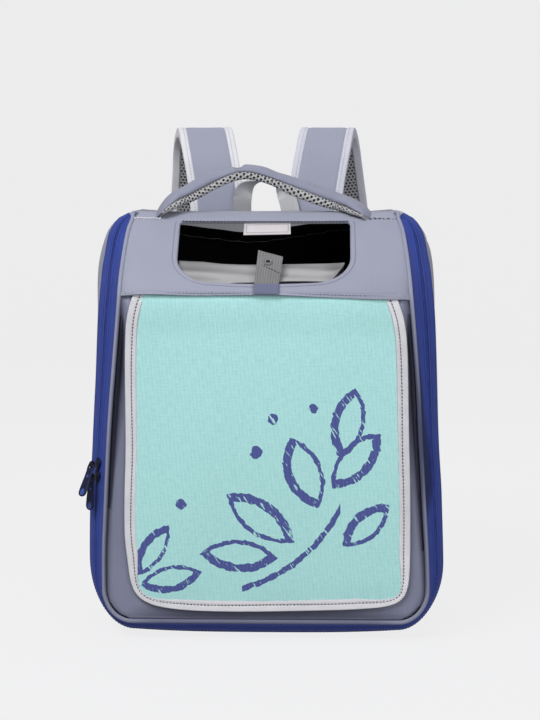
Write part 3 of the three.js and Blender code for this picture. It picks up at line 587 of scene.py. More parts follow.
def windowStitches():
    # along the hem, above the window and round its folded edge
    x = np.linspace(-134, 134, 200)
    hem = slopePoint(x, np.full_like(x, 3.3)) - [0, 0.75, 0]
    x = np.linspace(-82, 82, 120)
    top = slopePoint(x, np.full_like(x, window["high"] + 0.1)) + 0.1 * np.array([0, -0.645, 0.764])
    rows = [stitchesOn(hem, [0, -1, 0], 2.3, 3.4, 0.4, 0.35)]
    addPiece("hemStitches", rows, greyThread)
    x = np.linspace(-129, -102, 40)
    frayed = slopePoint(x, np.full_like(x, window["top"] - 0.6)) + [0, -0.2, 0.7] + 0.3 * np.sin(x * 1.7)[:, None] * [0, 0, 1]
    addPiece("seamEdge", stitchesOn(frayed, [0, -0.645, 0.764], 3.0, 2.9, 0.8, 0.5), binding)
    x = np.linspace(101, 131, 40)
    frayed = slopePoint(x, np.full_like(x, window["top"] - 0.6)) + [0, -0.2, 0.7] + (0.4 * np.sin(x * 0.9) - 0.05 * (x - 101))[:, None] * [0, 0, 1]
    addPiece("seamThread", stitchesOn(frayed, [0, -0.645, 0.764], 3.6, 3.9, 0.85, 0.6), darkThread)
    addPiece("windowStitches", stitchesOn(top, [0, -0.645, 0.764], 2.9, 3.4, 0.9, 0.6), darkThread)


# Top, sides, base and back

shellWall = 3.0
backEnd = 0.983  # the other walls stop short of the back panel


topSag = 3.2
sides = {
    "left": [(0, 2), (120, 2), (200, 2.5), (250, 3.2), (290, 4.8), (310, 5.6), (325, 6.8), (342, 7.4), (356, 7.2), (367, 6.6),
             (378, 5.4), (388, 4.6), (410, 4.6)],
    "right": [(0, 2), (120, 2), (200, 2.1), (300, 2.5), (340, 2.3), (356, 2.2), (367, 2), (378, 0.6), (388, -1), (410, -1)],
    "crest": [(378, 0), (386, 0.8), (392, 2.6), (398, 4.8), (404, 6), (410, 6.5)],
}


def drawnIn(x, z, v):
    # the crest on the right is drawn in behind the band
    return tableAt(sides["crest"], z) * smoothStep(0, 0.35, v) * smoothStep(60, 140, x)


def topPoint(u, v):
    # from the crest of the window over the band's ends to the back, crowned in the middle
    crest = np.array([seamLine(seam, 1.0) for seam in (frontSeam, bandSeam, backSeam)])
    edge = np.stack([tableAt(list(zip((0, 0.14, 1), column)), v) for column in crest.T], -1)
    side = 2 * u - 1
    crown = 1.2 * (1 - side ** 2) * np.sin(np.pi * np.clip(v, 0, 1) ** 0.6) + 0.5 * np.sin(9 * u + 4 * v) * v * (1 - v)
    crown = crown - topSag * (1 - side ** 4) * smoothStep(0.1, 1, v)
    crown = crown - 1.6 * np.exp(-v / 0.008)
    x = edge[..., 0] * side
    crown = crown - crestDip(x) * smoothStep(-0.1, 0, -v)
    return np.stack([x - drawnIn(x, edge[..., 2], (v - 0.14) / 0.86), edge[..., 1], edge[..., 2] + crown], -1)


def shellPoint(t, v):
    # straight rulings from the band to the back, swelling outwards between
    point = seamLine(bandSeam, t) * (1 - v)[..., None] + seamLine(backSeam, t) * v[..., None]
    z = point[..., 2]
    swell = np.where(t < 0.5, tableAt(sides["left"], z), tableAt(sides["right"], z))
    swell = swell * np.sin(np.pi * v) * smoothStep(0, 24, 410 - z) * smoothStep(0, 80, z)
    crease = 0.8 * np.sin(z / 31 + 5 * v) * np.sin(np.pi * v) * smoothStep(20, 90, z) * smoothStep(0, 60, 410 - z)
    point[..., 0] += np.sign(point[..., 0]) * (swell + crease) - drawnIn(point[..., 0], z, v)
    return point


def buildShell():
    pieces = []
    v = np.linspace(0.004, backEnd, 60)
    for side, us in (("left", uSteps[uSteps <= 0.43]), ("right", uSteps[uSteps >= 0.57])):
        t, depth = np.meshgrid(us, v, indexing="ij")
        faces = gridFaces(shell(shellPoint(t, depth), shellWall))
        pieces.append(addPiece(f"sidePanel.{side}", faces, lavender, [f"side_panel_{side}"]))
    t, depth = np.meshgrid(np.linspace(0.431, 0.569, 40), np.linspace(0.004, backEnd, 40), indexing="ij")
    faces = gridFaces(shell(shellPoint(t, depth), shellWall))
    pieces.append(addPiece("bottomPanel", faces, lavender, ["bottom_panel"]))
    u, depth = np.meshgrid(np.linspace(0.003, 0.997, 90), np.linspace(0.077, 0.99, 80) ** 2, indexing="ij")
    faces = gridFaces(shell(topPoint(u, depth), shellWall))
    # painted shade: the top panel darker towards the back
    shade = np.concatenate([0.5 * smoothStep(0.05, 0.9, depth), 0 * depth], 1)
    pieces.append(addPiece("topPanel", faces, topCloth, ["top_panel"], shade=shade))
    rows = np.concatenate([60 * (1 - np.cos(np.linspace(0, np.pi / 2, 22)[:-1])), np.linspace(60, 380, 60)[:-1],
                           380 + 29.9 * np.sin(np.linspace(0, np.pi / 2, 20))])
    shares = np.sin(np.linspace(-np.pi / 2, np.pi / 2, 80))
    x = halfWidth(backSeam, rows)[:, None] * shares
    z = np.broadcast_to(rows[:, None], x.shape)
    edge = np.minimum(halfWidth(backSeam, rows)[:, None] - np.abs(x), np.minimum(z, 410 - z))
    y = 115 - 1.2 * np.exp(-edge / 2.5)
    x = x - drawnIn(x, z, 1)
    z = z - topSag * smoothStep(370, 410, z) * np.clip(1 - (x / 134) ** 4, 0, 1)
    faces = gridFaces(shell(np.stack([x, y, z], -1), shellWall))
    # painted light: the inside of the back wall glows near its top, standing in for light that falls on it through the
    # window
    inside = smoothStep(350, 380, z) * smoothStep(-130, -100, -np.abs(x)) * (0.8 + 0.2 * smoothStep(-90, 0, x))
    glow = np.concatenate([0 * inside, inside[:, ::-1]], 1)
    pieces.append(addPiece("backPanel", faces, backCloth, ["back_panel"], shade=glow))
    return pieces


shellPieces = buildShell()
print("body panels made")


# Materials of the trims

def ribbedMaterial(name, base, dark, pitch, along=True, rough=0.8, depth=0.0002, sheen=0.03, slant=0.0, shaded=None):
    # woven tape: ribs one way, finer threads the other, worn paler on the ribs
    material, w, shader = newMaterial(name, Sheen_Weight=sheen, Sheen_Roughness=0.4, Specular_IOR_Level=0.15)
    first, second = clothPlaces(w)
    run, rise = (first, second + first * slant) if along else (second, first + second * slant)
    ribs = abs((rise * (math.pi / pitch)).sine())
    threads = (run * (2 * math.pi / (0.6 * pitch))).sine() * 0.5 + 0.5
    place = w.make("TexCoord", output="Object")
    mottle = w.noise(40.0, 3.0, place)
    share = (ribs * 0.45 + threads * 0.15 + mottle * 0.5).between(0.15, 0.95)
    tape = w.blend(dark, base, share)
    # painted shade: the tape darkens towards the shaded colour where the shade attribute is set
    if shaded:
        tape = w.blend(tape, shaded, w.make("Attribute", {"attribute_name": "shade"}, output=2))
    feed(tape, shader, "Base Color")
    feed(rough + (mottle - 0.5) * 0.15, shader, "Roughness")
    feed(bumpOf(w, ribs + threads * 0.35, depth), shader, "Normal")
    return material


def plasticMaterial(name, base, pale, rough=0.42, shine=0.45):
    # moulded plastic: a fine grain and paler rubbed patches
    material, w, shader = newMaterial(name, Specular_IOR_Level=shine)
    place = w.make("TexCoord", output="Object")
    grain = w.noise(900.0, 2.0, place)
    rub = w.noise(60.0, 4.0, place)
    feed(w.blend(base, pale, rub.between(0.45, 0.85)), shader, "Base Color")
    feed(rough + grain * 0.12, shader, "Roughness")
    feed(bumpOf(w, grain, 0.00005), shader, "Normal")
    return material


def netMaterial(name, thread, hole, pitch):
    # spacer mesh: round holes where three sets of waves meet, with knitted threads between
    material, w, shader = newMaterial(name, Specular_IOR_Level=0.25, Sheen_Weight=0.1)
    along, across = clothPlaces(w)
    holes = netHoles(along, across, pitch, lambda value: (value + math.pi / 2).sine())
    gap = holes.between(-0.1, 1.0)
    knit = ((along * 3.1 + across * 2.2).sine() * (along * 2.6 - across * 3.3).sine()) * 0.5 + 0.5
    threads = w.blend(thread, tuple(0.72 * c for c in thread[:3]) + (1.0,), knit)
    # painted shade: the holes are painted near black, standing in for the shade inside them
    feed(w.blend(threads, hole, gap), shader, "Base Color")
    feed(0.75 + gap * 0.2, shader, "Roughness")
    feed(bumpOf(w, knit * 0.4 - gap, 0.0003), shader, "Normal")
    return material


def netHoles(along, across, pitch, cosine=np.cos):
    # three waves at a third of a turn to each other: highest in the middle of each hole
    turn = 2 * math.pi / pitch
    return (cosine(along * turn) + cosine(along * (-0.5 * turn) + across * (0.866 * turn))
            + cosine(along * (-0.5 * turn) + across * (-0.866 * turn)))


def inkPattern(w, x, z):
    # brush-drawn sprigs: each leaf lies inside two circles, and its strokes are the bands inside their rims
    where = w.make("CombineXYZ", inputs={0: x, 1: z, 2: 0.0})
    ragged = w.make("TexNoise", {}, {"Vector": where, "Scale": 0.16, "Detail": 4.0}, output="Color")
    shift = w.make("VectorMath", {"operation": "SUBTRACT"}, {0: ragged, 1: (0.5, 0.5, 0.5)})
    shift = w.make("VectorMath", {"operation": "SCALE"}, {0: shift, "Scale": 5.0})
    point = w.make("VectorMath", {"operation": "ADD"}, {0: where, 1: shift})
    away = lambda cx, cz: w.make("VectorMath", {"operation": "DISTANCE"}, {0: point, 1: (cx, cz, 0)}, output="Value")
    ink = None
    for x0, z0, x1, z1, fat, thick, thin in leaves:
        start, end = np.array([x0, z0], float), np.array([x1, z1], float)
        chord = np.linalg.norm(end - start)
        side = np.array([-(end - start)[1], (end - start)[0]]) / chord
        radius = (chord * chord / 4 + fat * fat / 4) / fat
        middle = (start + end) / 2
        first, second = middle + side * (radius - fat / 2), middle - side * (radius - fat / 2)
        one, two = away(*first) - radius, away(*second) - radius
        mask = (one.larger(two) < 0) * ((one + thick).larger(two + thin) > 0)
        ink = mask if ink is None else ink.larger(mask)
    for cx, cz, radius, wide, lowX, highX in stems:
        rim = abs(away(cx, cz) - radius) < wide
        ink = ink.larger(rim * (x > lowX) * (x < highX) * (z < cz))
    for cx, cz, radius in berries:
        ink = ink.larger(away(cx, cz) < radius)
    dry = w.make("CombineXYZ", inputs={0: x * 0.5 + z * 0.35, 1: z * 0.09 - x * 0.06, 2: 3.0})
    return ink * (w.noise(0.8, 5.0, dry) < 0.63)


leaves = [  # foot x and z, tip x and z, width, thick stroke, thin stroke, in millimetres on the curtain
    (30, 96, -34, 142, 34, 8.5, 4.0), (52, 128, 26, 196, 36, 4.0, 8.5), (66, 148, 112, 200, 32, 8.0, 4.0),
    (14, 80, -60, 84, 32, 4.5, 8.0), (76, 92, 120, 132, 28, 4.0, 8.0), (74, 176, 88, 244, 32, 4.0, 8.0),
    (-118, 52, -58, 66, 26, 7.0, 3.5), (-122, 62, -90, 112, 24, 3.5, 7.0),
]
stems = [(-62, 196, 152, 2.6, -20, 74)]  # middle x and z, radius, half width, from x, to x
berries = [(-6, 182, 6), (10, 214, 5), (-78, 132, 5), (48, 224, 4.5)]


def mintMaterial():
    # printed mint cloth: fine upright ribs that lean a little, with soft streaks, and the ink on top
    material, w, shader = newMaterial("printedMint", Sheen_Weight=0.05, Sheen_Roughness=0.5, Specular_IOR_Level=0.12)
    along, across = clothPlaces(w)
    upright = w.noise(1.0, 3.0, w.make("CombineXYZ", inputs={0: along * 0.55, 1: across * 0.11, 2: 0.0}))
    level = w.noise(1.0, 3.0, w.make("CombineXYZ", inputs={0: along * 0.13, 1: across * 0.6, 2: 5.0}))
    threads = ((along + across * 0.1 + upright * 2.5) * (2 * math.pi / 3.7)).sine() * 0.5 + 0.5
    share = (upright * 0.4 + level * 0.5 + threads * 0.1).between(0.3, 0.7)
    base = w.blend(colour(156, 205, 204), colour(171, 217, 216), share)
    ink = inkPattern(w, along - 200, across)
    printed = w.blend(colour(70, 79, 136), colour(78, 87, 146), threads)
    feed(w.blend(base, printed, ink), shader, "Base Color")
    feed(0.86 - ink * 0.18, shader, "Roughness")
    feed(bumpOf(w, threads * 0.3 + level + upright * 0.5 + ink * 0.4, 0.00006), shader, "Normal")
    return material


mint = mintMaterial()
blueTape = ribbedMaterial("blueZipTape", colour(56, 76, 160), colour(42, 57, 130), 2.4, rough=0.75, depth=0.0003,
                          shaded=colour(14, 18, 36))
blueCoil = ribbedMaterial("blueZipCoil", colour(52, 70, 148), colour(30, 40, 100), 1.6, along=False, rough=0.6)
binding = ribbedMaterial("paleBinding", colour(222, 222, 226), colour(196, 196, 203), 1.9, along=False, slant=0.55,
                         shaded=colour(128, 130, 138))
blackLining = clothMaterial("blackLining", colour(14, 14, 16), colour(5, 5, 6), pitch=1.6, rough=0.9, sheen=0.0)
# the pale binding, darker and bluer, for the right strap
rightStrapBinding = ribbedMaterial("rightStrapBinding", colour(204, 205, 216), colour(182, 183, 195), 1.9, along=False, slant=0.55)
satin = clothMaterial("greySatin", colour(170, 170, 171), colour(156, 156, 158), pitch=0.5, rough=0.34, depth=0.00003,
                      shaded=colour(96, 96, 98))
greyWebbing = ribbedMaterial("greyWebbing", colour(128, 128, 129), colour(98, 98, 100), 2.6)
paleWebbing = ribbedMaterial("paleWebbing", colour(198, 199, 201), colour(174, 175, 178), 1.1, along=False,
                             shaded=colour(118, 120, 125))
tabCloth = clothMaterial("tabCloth", colour(108, 112, 136), colour(98, 102, 126))
patchLoop = clothMaterial("loopPatch", colour(214, 209, 211), colour(200, 195, 198), pitch=0.9, depth=0.0002)
airMesh = netMaterial("airMesh", colour(186, 186, 188), colour(34, 34, 37), 3.9)
strapMesh = netMaterial("strapAirMesh", colour(168, 168, 172), colour(40, 40, 44), 3.6)
navy = plasticMaterial("navyPlastic", colour(12, 17, 42), colour(20, 27, 60), rough=0.55, shine=0.2)
studMetal = plasticMaterial("studMetal", colour(132, 132, 134), colour(150, 150, 152), rough=0.5)
# dark marks on the stud: painted shade for its hole, and a ring of dark dots
studHole = plasticMaterial("studHole", colour(18, 18, 20), colour(30, 30, 32), rough=0.7)
darkThread = ribbedMaterial("darkThread", colour(84, 84, 92), colour(52, 52, 60), 0.8)
greyThread = ribbedMaterial("greyThread", colour(124, 127, 148), colour(96, 99, 120), 0.8)
blueThread = ribbedMaterial("blueThread", colour(36, 47, 102), colour(22, 30, 72), 0.8)
windowStitches()
paleThread = ribbedMaterial("paleThread", colour(176, 178, 190), colour(146, 148, 162), 0.8)
liningThread = ribbedMaterial("liningThread", colour(150, 150, 152), colour(110, 110, 112), 0.8)
print("trim materials made")


# Piping and the zip band round the front

zipBand = {"frontFrom": 0.045, "frontTo": 0.478, "coilFrom": 0.505, "coilTo": 0.59, "rearFrom": 0.617, "rearTo": 0.992,
           "thick": 1.8, "lip": 0.8, "toothPitch": 1.5, "toothHigh": 0.16,
           # how far the painted shadow on the band reaches from the piping, by height
           "shadow": [(17, 0.05), (100, 0.1), (118, 0.3), (136, 0.5), (155, 0.56), (174, 0.46), (193, 0.33), (212, 0.24),
                      (231, 0.18), (250, 0.13), (270, 0.08), (300, 0.05)]}
piping = {"radius": 2.0, "sides": 14, "over": [(0, 0, 0), (0.2, 3, 3.2), (-0.4, 7, 5.2), (-2.2, 12, 4.6), (-5, 18, 1.0)],
          # painted shade on the piping by height, on the left and on the right
          "shadeLeft": [(17, 0.25), (130, 0.3), (193, 0.15), (250, 0.1), (330, 0)],
          "shadeRight": [(17, 0.25), (117, 0.35), (155, 0.7), (193, 1), (222, 0.85), (250, 0.55), (289, 0.25), (320, 0)]}


def bandStrip(t, profile):
    # a profile of (share of the band's width, height off it) carried round the U
    near, far = seamLine(frontSeam, t), seamLine(bandSeam, t)
    normal = unit(np.cross(np.gradient(near, axis=0) + np.gradient(far, axis=0), far - near))
    outward = np.sum(normal * ((near + far) / 2 - [0, 0, 205]), 1, keepdims=True)
    normal = np.where(outward < 0, -normal, normal)
    profile = np.broadcast_to(profile, (len(t),) + np.shape(profile)[-2:])
    return (near[:, None] + (far - near)[:, None] * profile[..., :1] + normal[:, None] * profile[..., 1:])


def buildBand():
    line = seamLine(frontSeam, uSteps)
    over = lineThrough(piping["over"], 14)[1:]
    cord = np.concatenate([(line[0] + over * [-1, 1, 1])[::-1], line, line[-1] + over])
    along = unit(np.gradient(cord, axis=0))
    side, up = framesOn(cord, cord - [0, 60, 205])
    angle = np.arange(piping["sides"]) * 2 * np.pi / piping["sides"]
    section = piping["radius"] * np.stack([np.cos(angle), np.sin(angle)], 1)
    cordSkin = carry(cord, side, up, section)
    # painted shade on the piping: its inner half darker, more at mid height on the right and along the base
    inner = (cord[:, None] - cordSkin)[..., 0] * np.sign(cord[:, :1]) / piping["radius"]
    inner = 0.6 * smoothStep(-0.5, 1, inner) * smoothStep(30, 60, cord[:, 2:]) * smoothStep(-335, -315, -cord[:, 2:])
    low = np.where(cord[:, 0] < 0, tableAt(piping["shadeLeft"], cord[:, 2]), tableAt(piping["shadeRight"], cord[:, 2]))
    low = low + 0.4 * smoothStep(-40, -20, -cord[:, 2]) * smoothStep(-140, -100, -np.abs(cord[:, 0]))
    low = np.clip(low[:, None] + inner, 0, 1)
    made = [addPiece("frontPiping", gridFaces(cordSkin), pipingCloth, ["front_piping"], shade=low)]
    z, k = zipBand, zipBand["lip"]
    a, b = z["frontFrom"], z["frontTo"]
    front = [(a, -0.9), (a + 0.006, -0.1), (a + 0.03, 0.1), (a + 0.06, 0.1), (a + 0.1, 0.12), (0.2, 0.15), (0.28, 0.15),
             (0.36, 0.15), (b - 0.05, 0.25), (b - 0.028, k),
             (b - 0.012, k), (b - 0.003, 0.3), (b, -0.6)]
    a, b = z["rearFrom"], z["rearTo"]
    rear = [(a, -0.6), (a + 0.003, 0.3), (a + 0.012, k), (a + 0.028, k), (a + 0.05, 0.25), (0.7, 0.15), (0.84, 0.15),
            (0.9, 0.12), (b - 0.03, 0.1), (b - 0.006, -0.1), (b, -0.9)]
    for name, outer in (("front", front), ("rear", rear)):
        outer = np.array(outer)
        inner = outer[::-1] * [1, 0] - [0, z["thick"]]
        section = np.concatenate([outer, inner])
        faces = gridFaces(bandStrip(uSteps, section))
        high = line[:, 2:]
        # painted shade: a dark line in the gap beside the piping, a painted shadow over the band's inner part, widest
        # on the right at mid height, and a painted contact shadow along its lower edge
        beside = section[:, 0] - z["frontFrom"]
        paintedGapShade = np.exp(-(beside / 0.035) ** 2) * smoothStep(30, 110, high) * smoothStep(-350, -290, -high)
        reach = np.where(line[:, :1] > 0, tableAt(zipBand["shadow"], high), 0.03)
        shadow = 0.8 * np.exp(-(beside / reach) ** 4) * smoothStep(105, 135, high)
        shade = np.maximum(paintedGapShade, shadow * smoothStep(-330, -280, -high))
        contact = 0.8 * smoothStep(-24, -18, -high) * smoothStep(0.78, 0.96, section[:, 0])
        shade = np.maximum(shade, contact)
        made.append(addPiece(f"zipTape.{name}", faces, blueTape, [f"zip_tape_{name}"], shade=shade))
    fine = np.interp(np.linspace(0, 1, 3200), lengthsAlong(line) / lengthsAlong(line)[-1], uSteps)
    run = np.linspace(0, lengthsAlong(line)[-1], 3200)
    a, b = z["coilFrom"], z["coilTo"]
    outer = np.array([(a, -1.2), (a + 0.004, -0.2), (a + 0.014, 0.4), ((a + b) / 2, 0.62), (b - 0.014, 0.4), (b - 0.004, -0.2),
                      (b, -1.2)])
    inner = np.array([(b, -2.0), (b - 0.01, -2.2), (b - 0.02, -2.2), ((a + b) / 2, -2.2), (a + 0.02, -2.2), (a + 0.01, -2.2),
                      (a, -2.0)])
    profile = np.broadcast_to(np.concatenate([outer, inner]), (len(run), 14, 2)).copy()
    tooth = z["toothHigh"] * np.sin(2 * np.pi * run / z["toothPitch"])
    profile[:, 1:6, 1] += tooth[:, None] * np.array([0.5, 1, 1, 1, 0.5])
    made.append(addPiece("zipCoil", gridFaces(bandStrip(fine, profile)), blueCoil, ["zip_chain"]))
    rows = [stitchesOn(bandStrip(uSteps, np.array([[share, 0.12]]))[:, 0], unit(line - [0, 0, 205]), 2.2, 3.2)
            for share in (0.1, 0.38, 0.72, 0.955)]
    made.append(addPiece("zipTapeStitches", rows, blueThread))
    return made


bandPieces = buildBand()
print("zip band made")


# Curtain: a mint sheet hung from under the window's hem, with a folded binding round it

curtain = {
    "lift": 0.7, "thick": 1.3, "wide": 11.0, "fold": 2.5, "stitchAt": 6.4, "top": 336, "bottom": 27,
    "edge": [(-121, 336), (-124.8, 327), (-129.2, 308), (-131, 279), (-131, 185), (-132.4, 137), (-132.3, 100), (-130, 78),
             (-126.8, 56), (-122.6, 45.4), (-116.5, 38.8), (-107.5, 34), (-98, 31.4), (-79, 28.8), (-60, 27.7), (-22, 27.2),
             (16, 27.8), (54, 28.8), (82, 29.8), (98, 30.8), (111, 32), (121.4, 34), (129.8, 37.6), (135.6, 43.6),
             (138.9, 53), (140.3, 66), (140.7, 85), (140.6, 137), (138.9, 203), (137, 279), (135.4, 298), (132.7, 312),
             (127.6, 327), (123.5, 336)],
}


def curtainY(x, z):
    # back face of the curtain: off the front panel, puffed out a little, with soft upright waves
    tall = np.clip((z - curtain["bottom"]) / (curtain["top"] - curtain["bottom"]), 0, 1)
    side = np.clip(np.abs(x - 3) / 136, 0, 1)
    puff = 1.6 * (1 - side ** 4) * np.sin(np.pi * tall) ** 0.7
    wave = 0.45 * np.sin(x / 15 + 0.8) * np.sin(z / 70 + 0.4) + 0.35 * np.sin(x / 34 - z / 47)
    fade = smoothStep(0, 0.12, 1 - tall) * smoothStep(0.0, 0.1, tall)
    return frontY(x, z) - curtain["lift"] - puff - (0.8 + wave) * fade - 2.4 * smoothStep(290, 322, z) * smoothStep(-334, -326, -z)


def buildCurtain():
    edge = lineThrough([(x, 0, z) for x, z in curtain["edge"]], 700)
    edge[:, 1] = curtainY(edge[:, 0], edge[:, 2])
    forwards = np.broadcast_to([0.0, -1.0, 0.0], edge.shape)
    along = unit(np.gradient(edge, axis=0))
    inward = unit(np.cross(forwards, along))
    run = lengthsAlong(edge)

    bend = np.linalg.norm(np.gradient(unit(np.gradient(edge, axis=0)), axis=0), axis=1)
    corner = smoothStep(0.008, 0.022, np.convolve(np.pad(bend, 16, mode="edge"), np.ones(33) / 33, mode="valid"))
    corner = corner * (edge[:, 2] < 110)
    corner = np.convolve(np.pad(corner, 15, mode="edge"), np.ones(31) / 29, mode="valid")
    rim = resample(edge + inward * (curtain["wide"] - 2 - 4.6 * corner)[:, None], 260)
    left, right = rim[:130], rim[:129:-1]
    share = np.linspace(0, 1, 121)[:, None]
    flat = left[:, None] * (1 - share) + right[:, None] * share
    x, z = flat[..., 0], flat[..., 2]
    outer = np.stack([x, curtainY(x, z) - curtain["thick"], z], -1)
    uv = np.stack([x + 200, z], -1)
    loop = np.concatenate([outer, (outer + [0, curtain["thick"], 0])[:, ::-1]], 1)
    sheet = addPiece("curtain", gridFaces(loop, uv=np.concatenate([uv, uv[:, ::-1]], 1)), mint, ["curtain"])

    # the binding narrows and gathers where it turns the lower corners
    gather = corner * (0.5 * np.sin(run * 0.9) + 0.4 * np.sin(run * 1.7 + 1)) + 0.16 * np.sin(run * 2.1) * np.sin(run / 17)
    section = roundedBar(0, curtain["wide"], -0.4, curtain["fold"], 1.0)
    section = resample(np.c_[np.concatenate([section, section[:1]]), np.zeros(len(section) + 1)], 73)[:-1, :2]
    profile = np.broadcast_to(section, (len(edge),) + section.shape).copy()
    deep = smoothStep(0.45, 1.0, section[:, 0] / curtain["wide"])
    front = smoothStep(0, curtain["fold"], section[:, 1])
    groove = -0.45 * np.exp(-((section[:, 0] - curtain["stitchAt"]) / 1.0) ** 2)
    profile[..., 0] += (gather * 0.6 - 4.6 * corner)[:, None] * deep
    profile[..., 1] += (gather[:, None] * deep * 0.5 + groove + 0.12 * np.sin(run / 3.1)[:, None]) * front
    # painted shade: the binding darker along its inner edge, darker on the right at mid height, and a little darker on
    # the left
    dim = smoothStep(110, 134, edge[:, :1]) * smoothStep(-310, -280, -edge[:, 2:]) * smoothStep(70, 130, edge[:, 2:])
    rimShade = (0.35 + 0.25 * dim) * smoothStep(curtain["wide"] - 1.2, curtain["wide"] - 0.4, section[:, 0])
    edging = addPiece("curtainBinding", gridFaces(carry(edge, inward, forwards, profile)), binding,
                      ["curtain_binding"], shade=np.maximum(rimShade, 0.2 * dim + 0.12 * smoothStep(80, 110, -edge[:, :1])))
    at = curtain["stitchAt"] - 2.0 * corner + 0.25 * np.sin(run / 21)
    seam = edge + inward * at[:, None] + forwards * (curtain["fold"] - 0.1)
    sewing = addPiece("curtainStitches", stitchesOn(seam, [0, -1, 0], 2.5, 3.3, 0.5, 0.5), darkThread)
    return [sheet, edging, sewing]


curtainPieces = buildCurtain()
print("curtain made")


# Seen through the window: the lining on the back wall and the cover folded down below the opening

slopeFoot = np.array([0, -117.0, 338.0])
slopeUp = np.array([0, 0.7642, 0.6450])
slopeOut = np.array([0, -0.6450, 0.7642])


def onSlope(x, up, out):
    # a point given along the slope of the window panel, up it and off it
    x, up, out = np.broadcast_arrays(np.asarray(x, float), np.asarray(up, float), np.asarray(out, float))
    return slopeFoot + x[..., None] * [1, 0, 0] + up[..., None] * slopeUp + out[..., None] * slopeOut


lining = {
    "half": 149, "bottom": 27, "y": 111.2, "thick": 1.2,
    "top": [(-150, 397), (-92, 393.5), (-67, 390.3), (-51, 388.5), (-27, 385.8), (0, 388), (24, 392), (60, 396.6), (150, 399)],
    "seam": [(-150, 388), (-92, 382.7), (-57, 378.5), (-20, 375.4), (33, 381.8), (80, 388.5), (150, 391)],
}
cover = {
    "left": -82, "right": 77, "thick": 1.0,
    "top": [(-82, 52), (-62, 51.5), (-40, 48), (-20, 46.8), (2, 46.8), (20, 47.2), (50, 48), (66, 48.4), (72, 47.4), (77, 45.4)],
    "foot": [(-82, 24), (-70, 14), (-50, 11), (-36, 11.4), (-26, 13), (0, 13.8), (13, 14.8), (40, 15.4), (62, 14.8), (68, 21.5),
             (72.3, 29.7), (75, 36), (77, 41)],
    "fold": [(0, -4.6), (0.25, -4.9), (0.55, -5.6), (0.8, -7.2), (0.94, -10.5), (1.0, -15), (0.93, -19.5), (0.75, -22.5),
             (0.45, -24), (0.2, -24.6)],
}


def buildInside():
    x = np.linspace(-lining["half"], lining["half"], 90)
    share = np.concatenate([np.linspace(0, 0.9, 30)[:-1], np.linspace(0.9, 1, 24)])
    top = tableAt(lining["top"], x)
    z = lining["bottom"] + share[:, None] * (top - lining["bottom"])
    drop = top - z
    seam = tableAt(lining["seam"], x)
    fold = 0.9 * np.exp(-((drop - 1.2) / 1.1) ** 2) + 0.8 * np.exp(-((z - seam) / 0.9) ** 2)
    sag = 0.8 * np.sin(x / 21 + z / 50) * smoothStep(0, 30, drop)
    y = lining["y"] - lining["thick"] - fold - np.maximum(sag, -0.3)
    grid = np.stack([np.broadcast_to(x, z.shape), y, z], -1)
    sheet = addPiece("liningPanel", gridFaces(np.concatenate([grid, (grid + [0, lining["thick"], 0])[:, ::-1]], 1)),
                     blackLining, ["lining_panel"])
    # the lining's hem stitches, pale: real stitches that also stand in for a painted highlight along the hem's fold
    hemLine = np.stack([x, np.full_like(x, lining["y"] - lining["thick"] - 1.0), seam + 0.4 * np.sin(x / 3.1)], 1)
    addPiece("liningStitches", stitchesOn(hemLine, [0, -1, 0], 3.0, 3.2, 0.5, 0.4), liningThread)

    line = lineThrough([(0, 34 * up, out) for up, out in cover["fold"]], 70)
    x = np.linspace(cover["left"], cover["right"], 150)
    share = line[:, None, 1] / 34
    foot, top = tableAt(cover["foot"], x), tableAt(cover["top"], x)
    rise = foot + (top - foot) * share
    lean = rise + 0.09 * x
    crease = np.sin(lean / 2.6 + 0.8 * np.sin(x / 33)) * np.sin(np.pi * np.clip(share, 0, 1))
    front = smoothStep(-16, -6, line[:, None, 2])
    grid = onSlope(x, rise, np.minimum(line[:, None, 2] + (0.9 * crease - 2.4 * np.sin(np.pi * share) ** 2) * front, -4.4))
    # painted shade: the satin cover darker towards the top of its fold and at both ends, lighter and darker along its
    # creases, and a painted highlight in a low streak across it
    shade = 0.5 * smoothStep(0.3, 0.95, share) + 0.35 * smoothStep(-20, -80, x) + 0.55 * smoothStep(50, 76, x)
    shade = shade - 0.25 * crease - 0.5 * np.exp(-((lean - 15) / 4) ** 2) * smoothStep(-60, -10, x)
    shade = np.clip(shade, 0, 1)
    normal = unit(np.cross(np.gradient(grid, axis=1), np.gradient(grid, axis=0)))
    flip = np.sign(np.sum(normal[10, 50] * slopeOut))
    loop = np.concatenate([grid, (grid - flip * normal * cover["thick"])[:, ::-1]], 1)
    folded = addPiece("windowCover", gridFaces(loop), satin, ["window_roll"],
                      shade=np.concatenate([shade, shade[:, ::-1]], 1))
    return [sheet, folded]


insidePieces = buildInside()


# Tab with its press stud, and the hook-and-loop patch at the top of the window

tab = {"half": 12.0, "base": 3.2, "top": 6.5, "high": 44.8, "slant": 5.7, "thick": 1.7, "off": 1.6, "ribs": 8}
stud = {"x": 4.4, "up": 33.7, "radius": 4.6, "prongs": 12}
patch = {"x": 2.2, "up": 89.4, "half": 22.8, "tall": 8.2, "thick": 1.4, "out": -4.0, "tilt": 0.03}


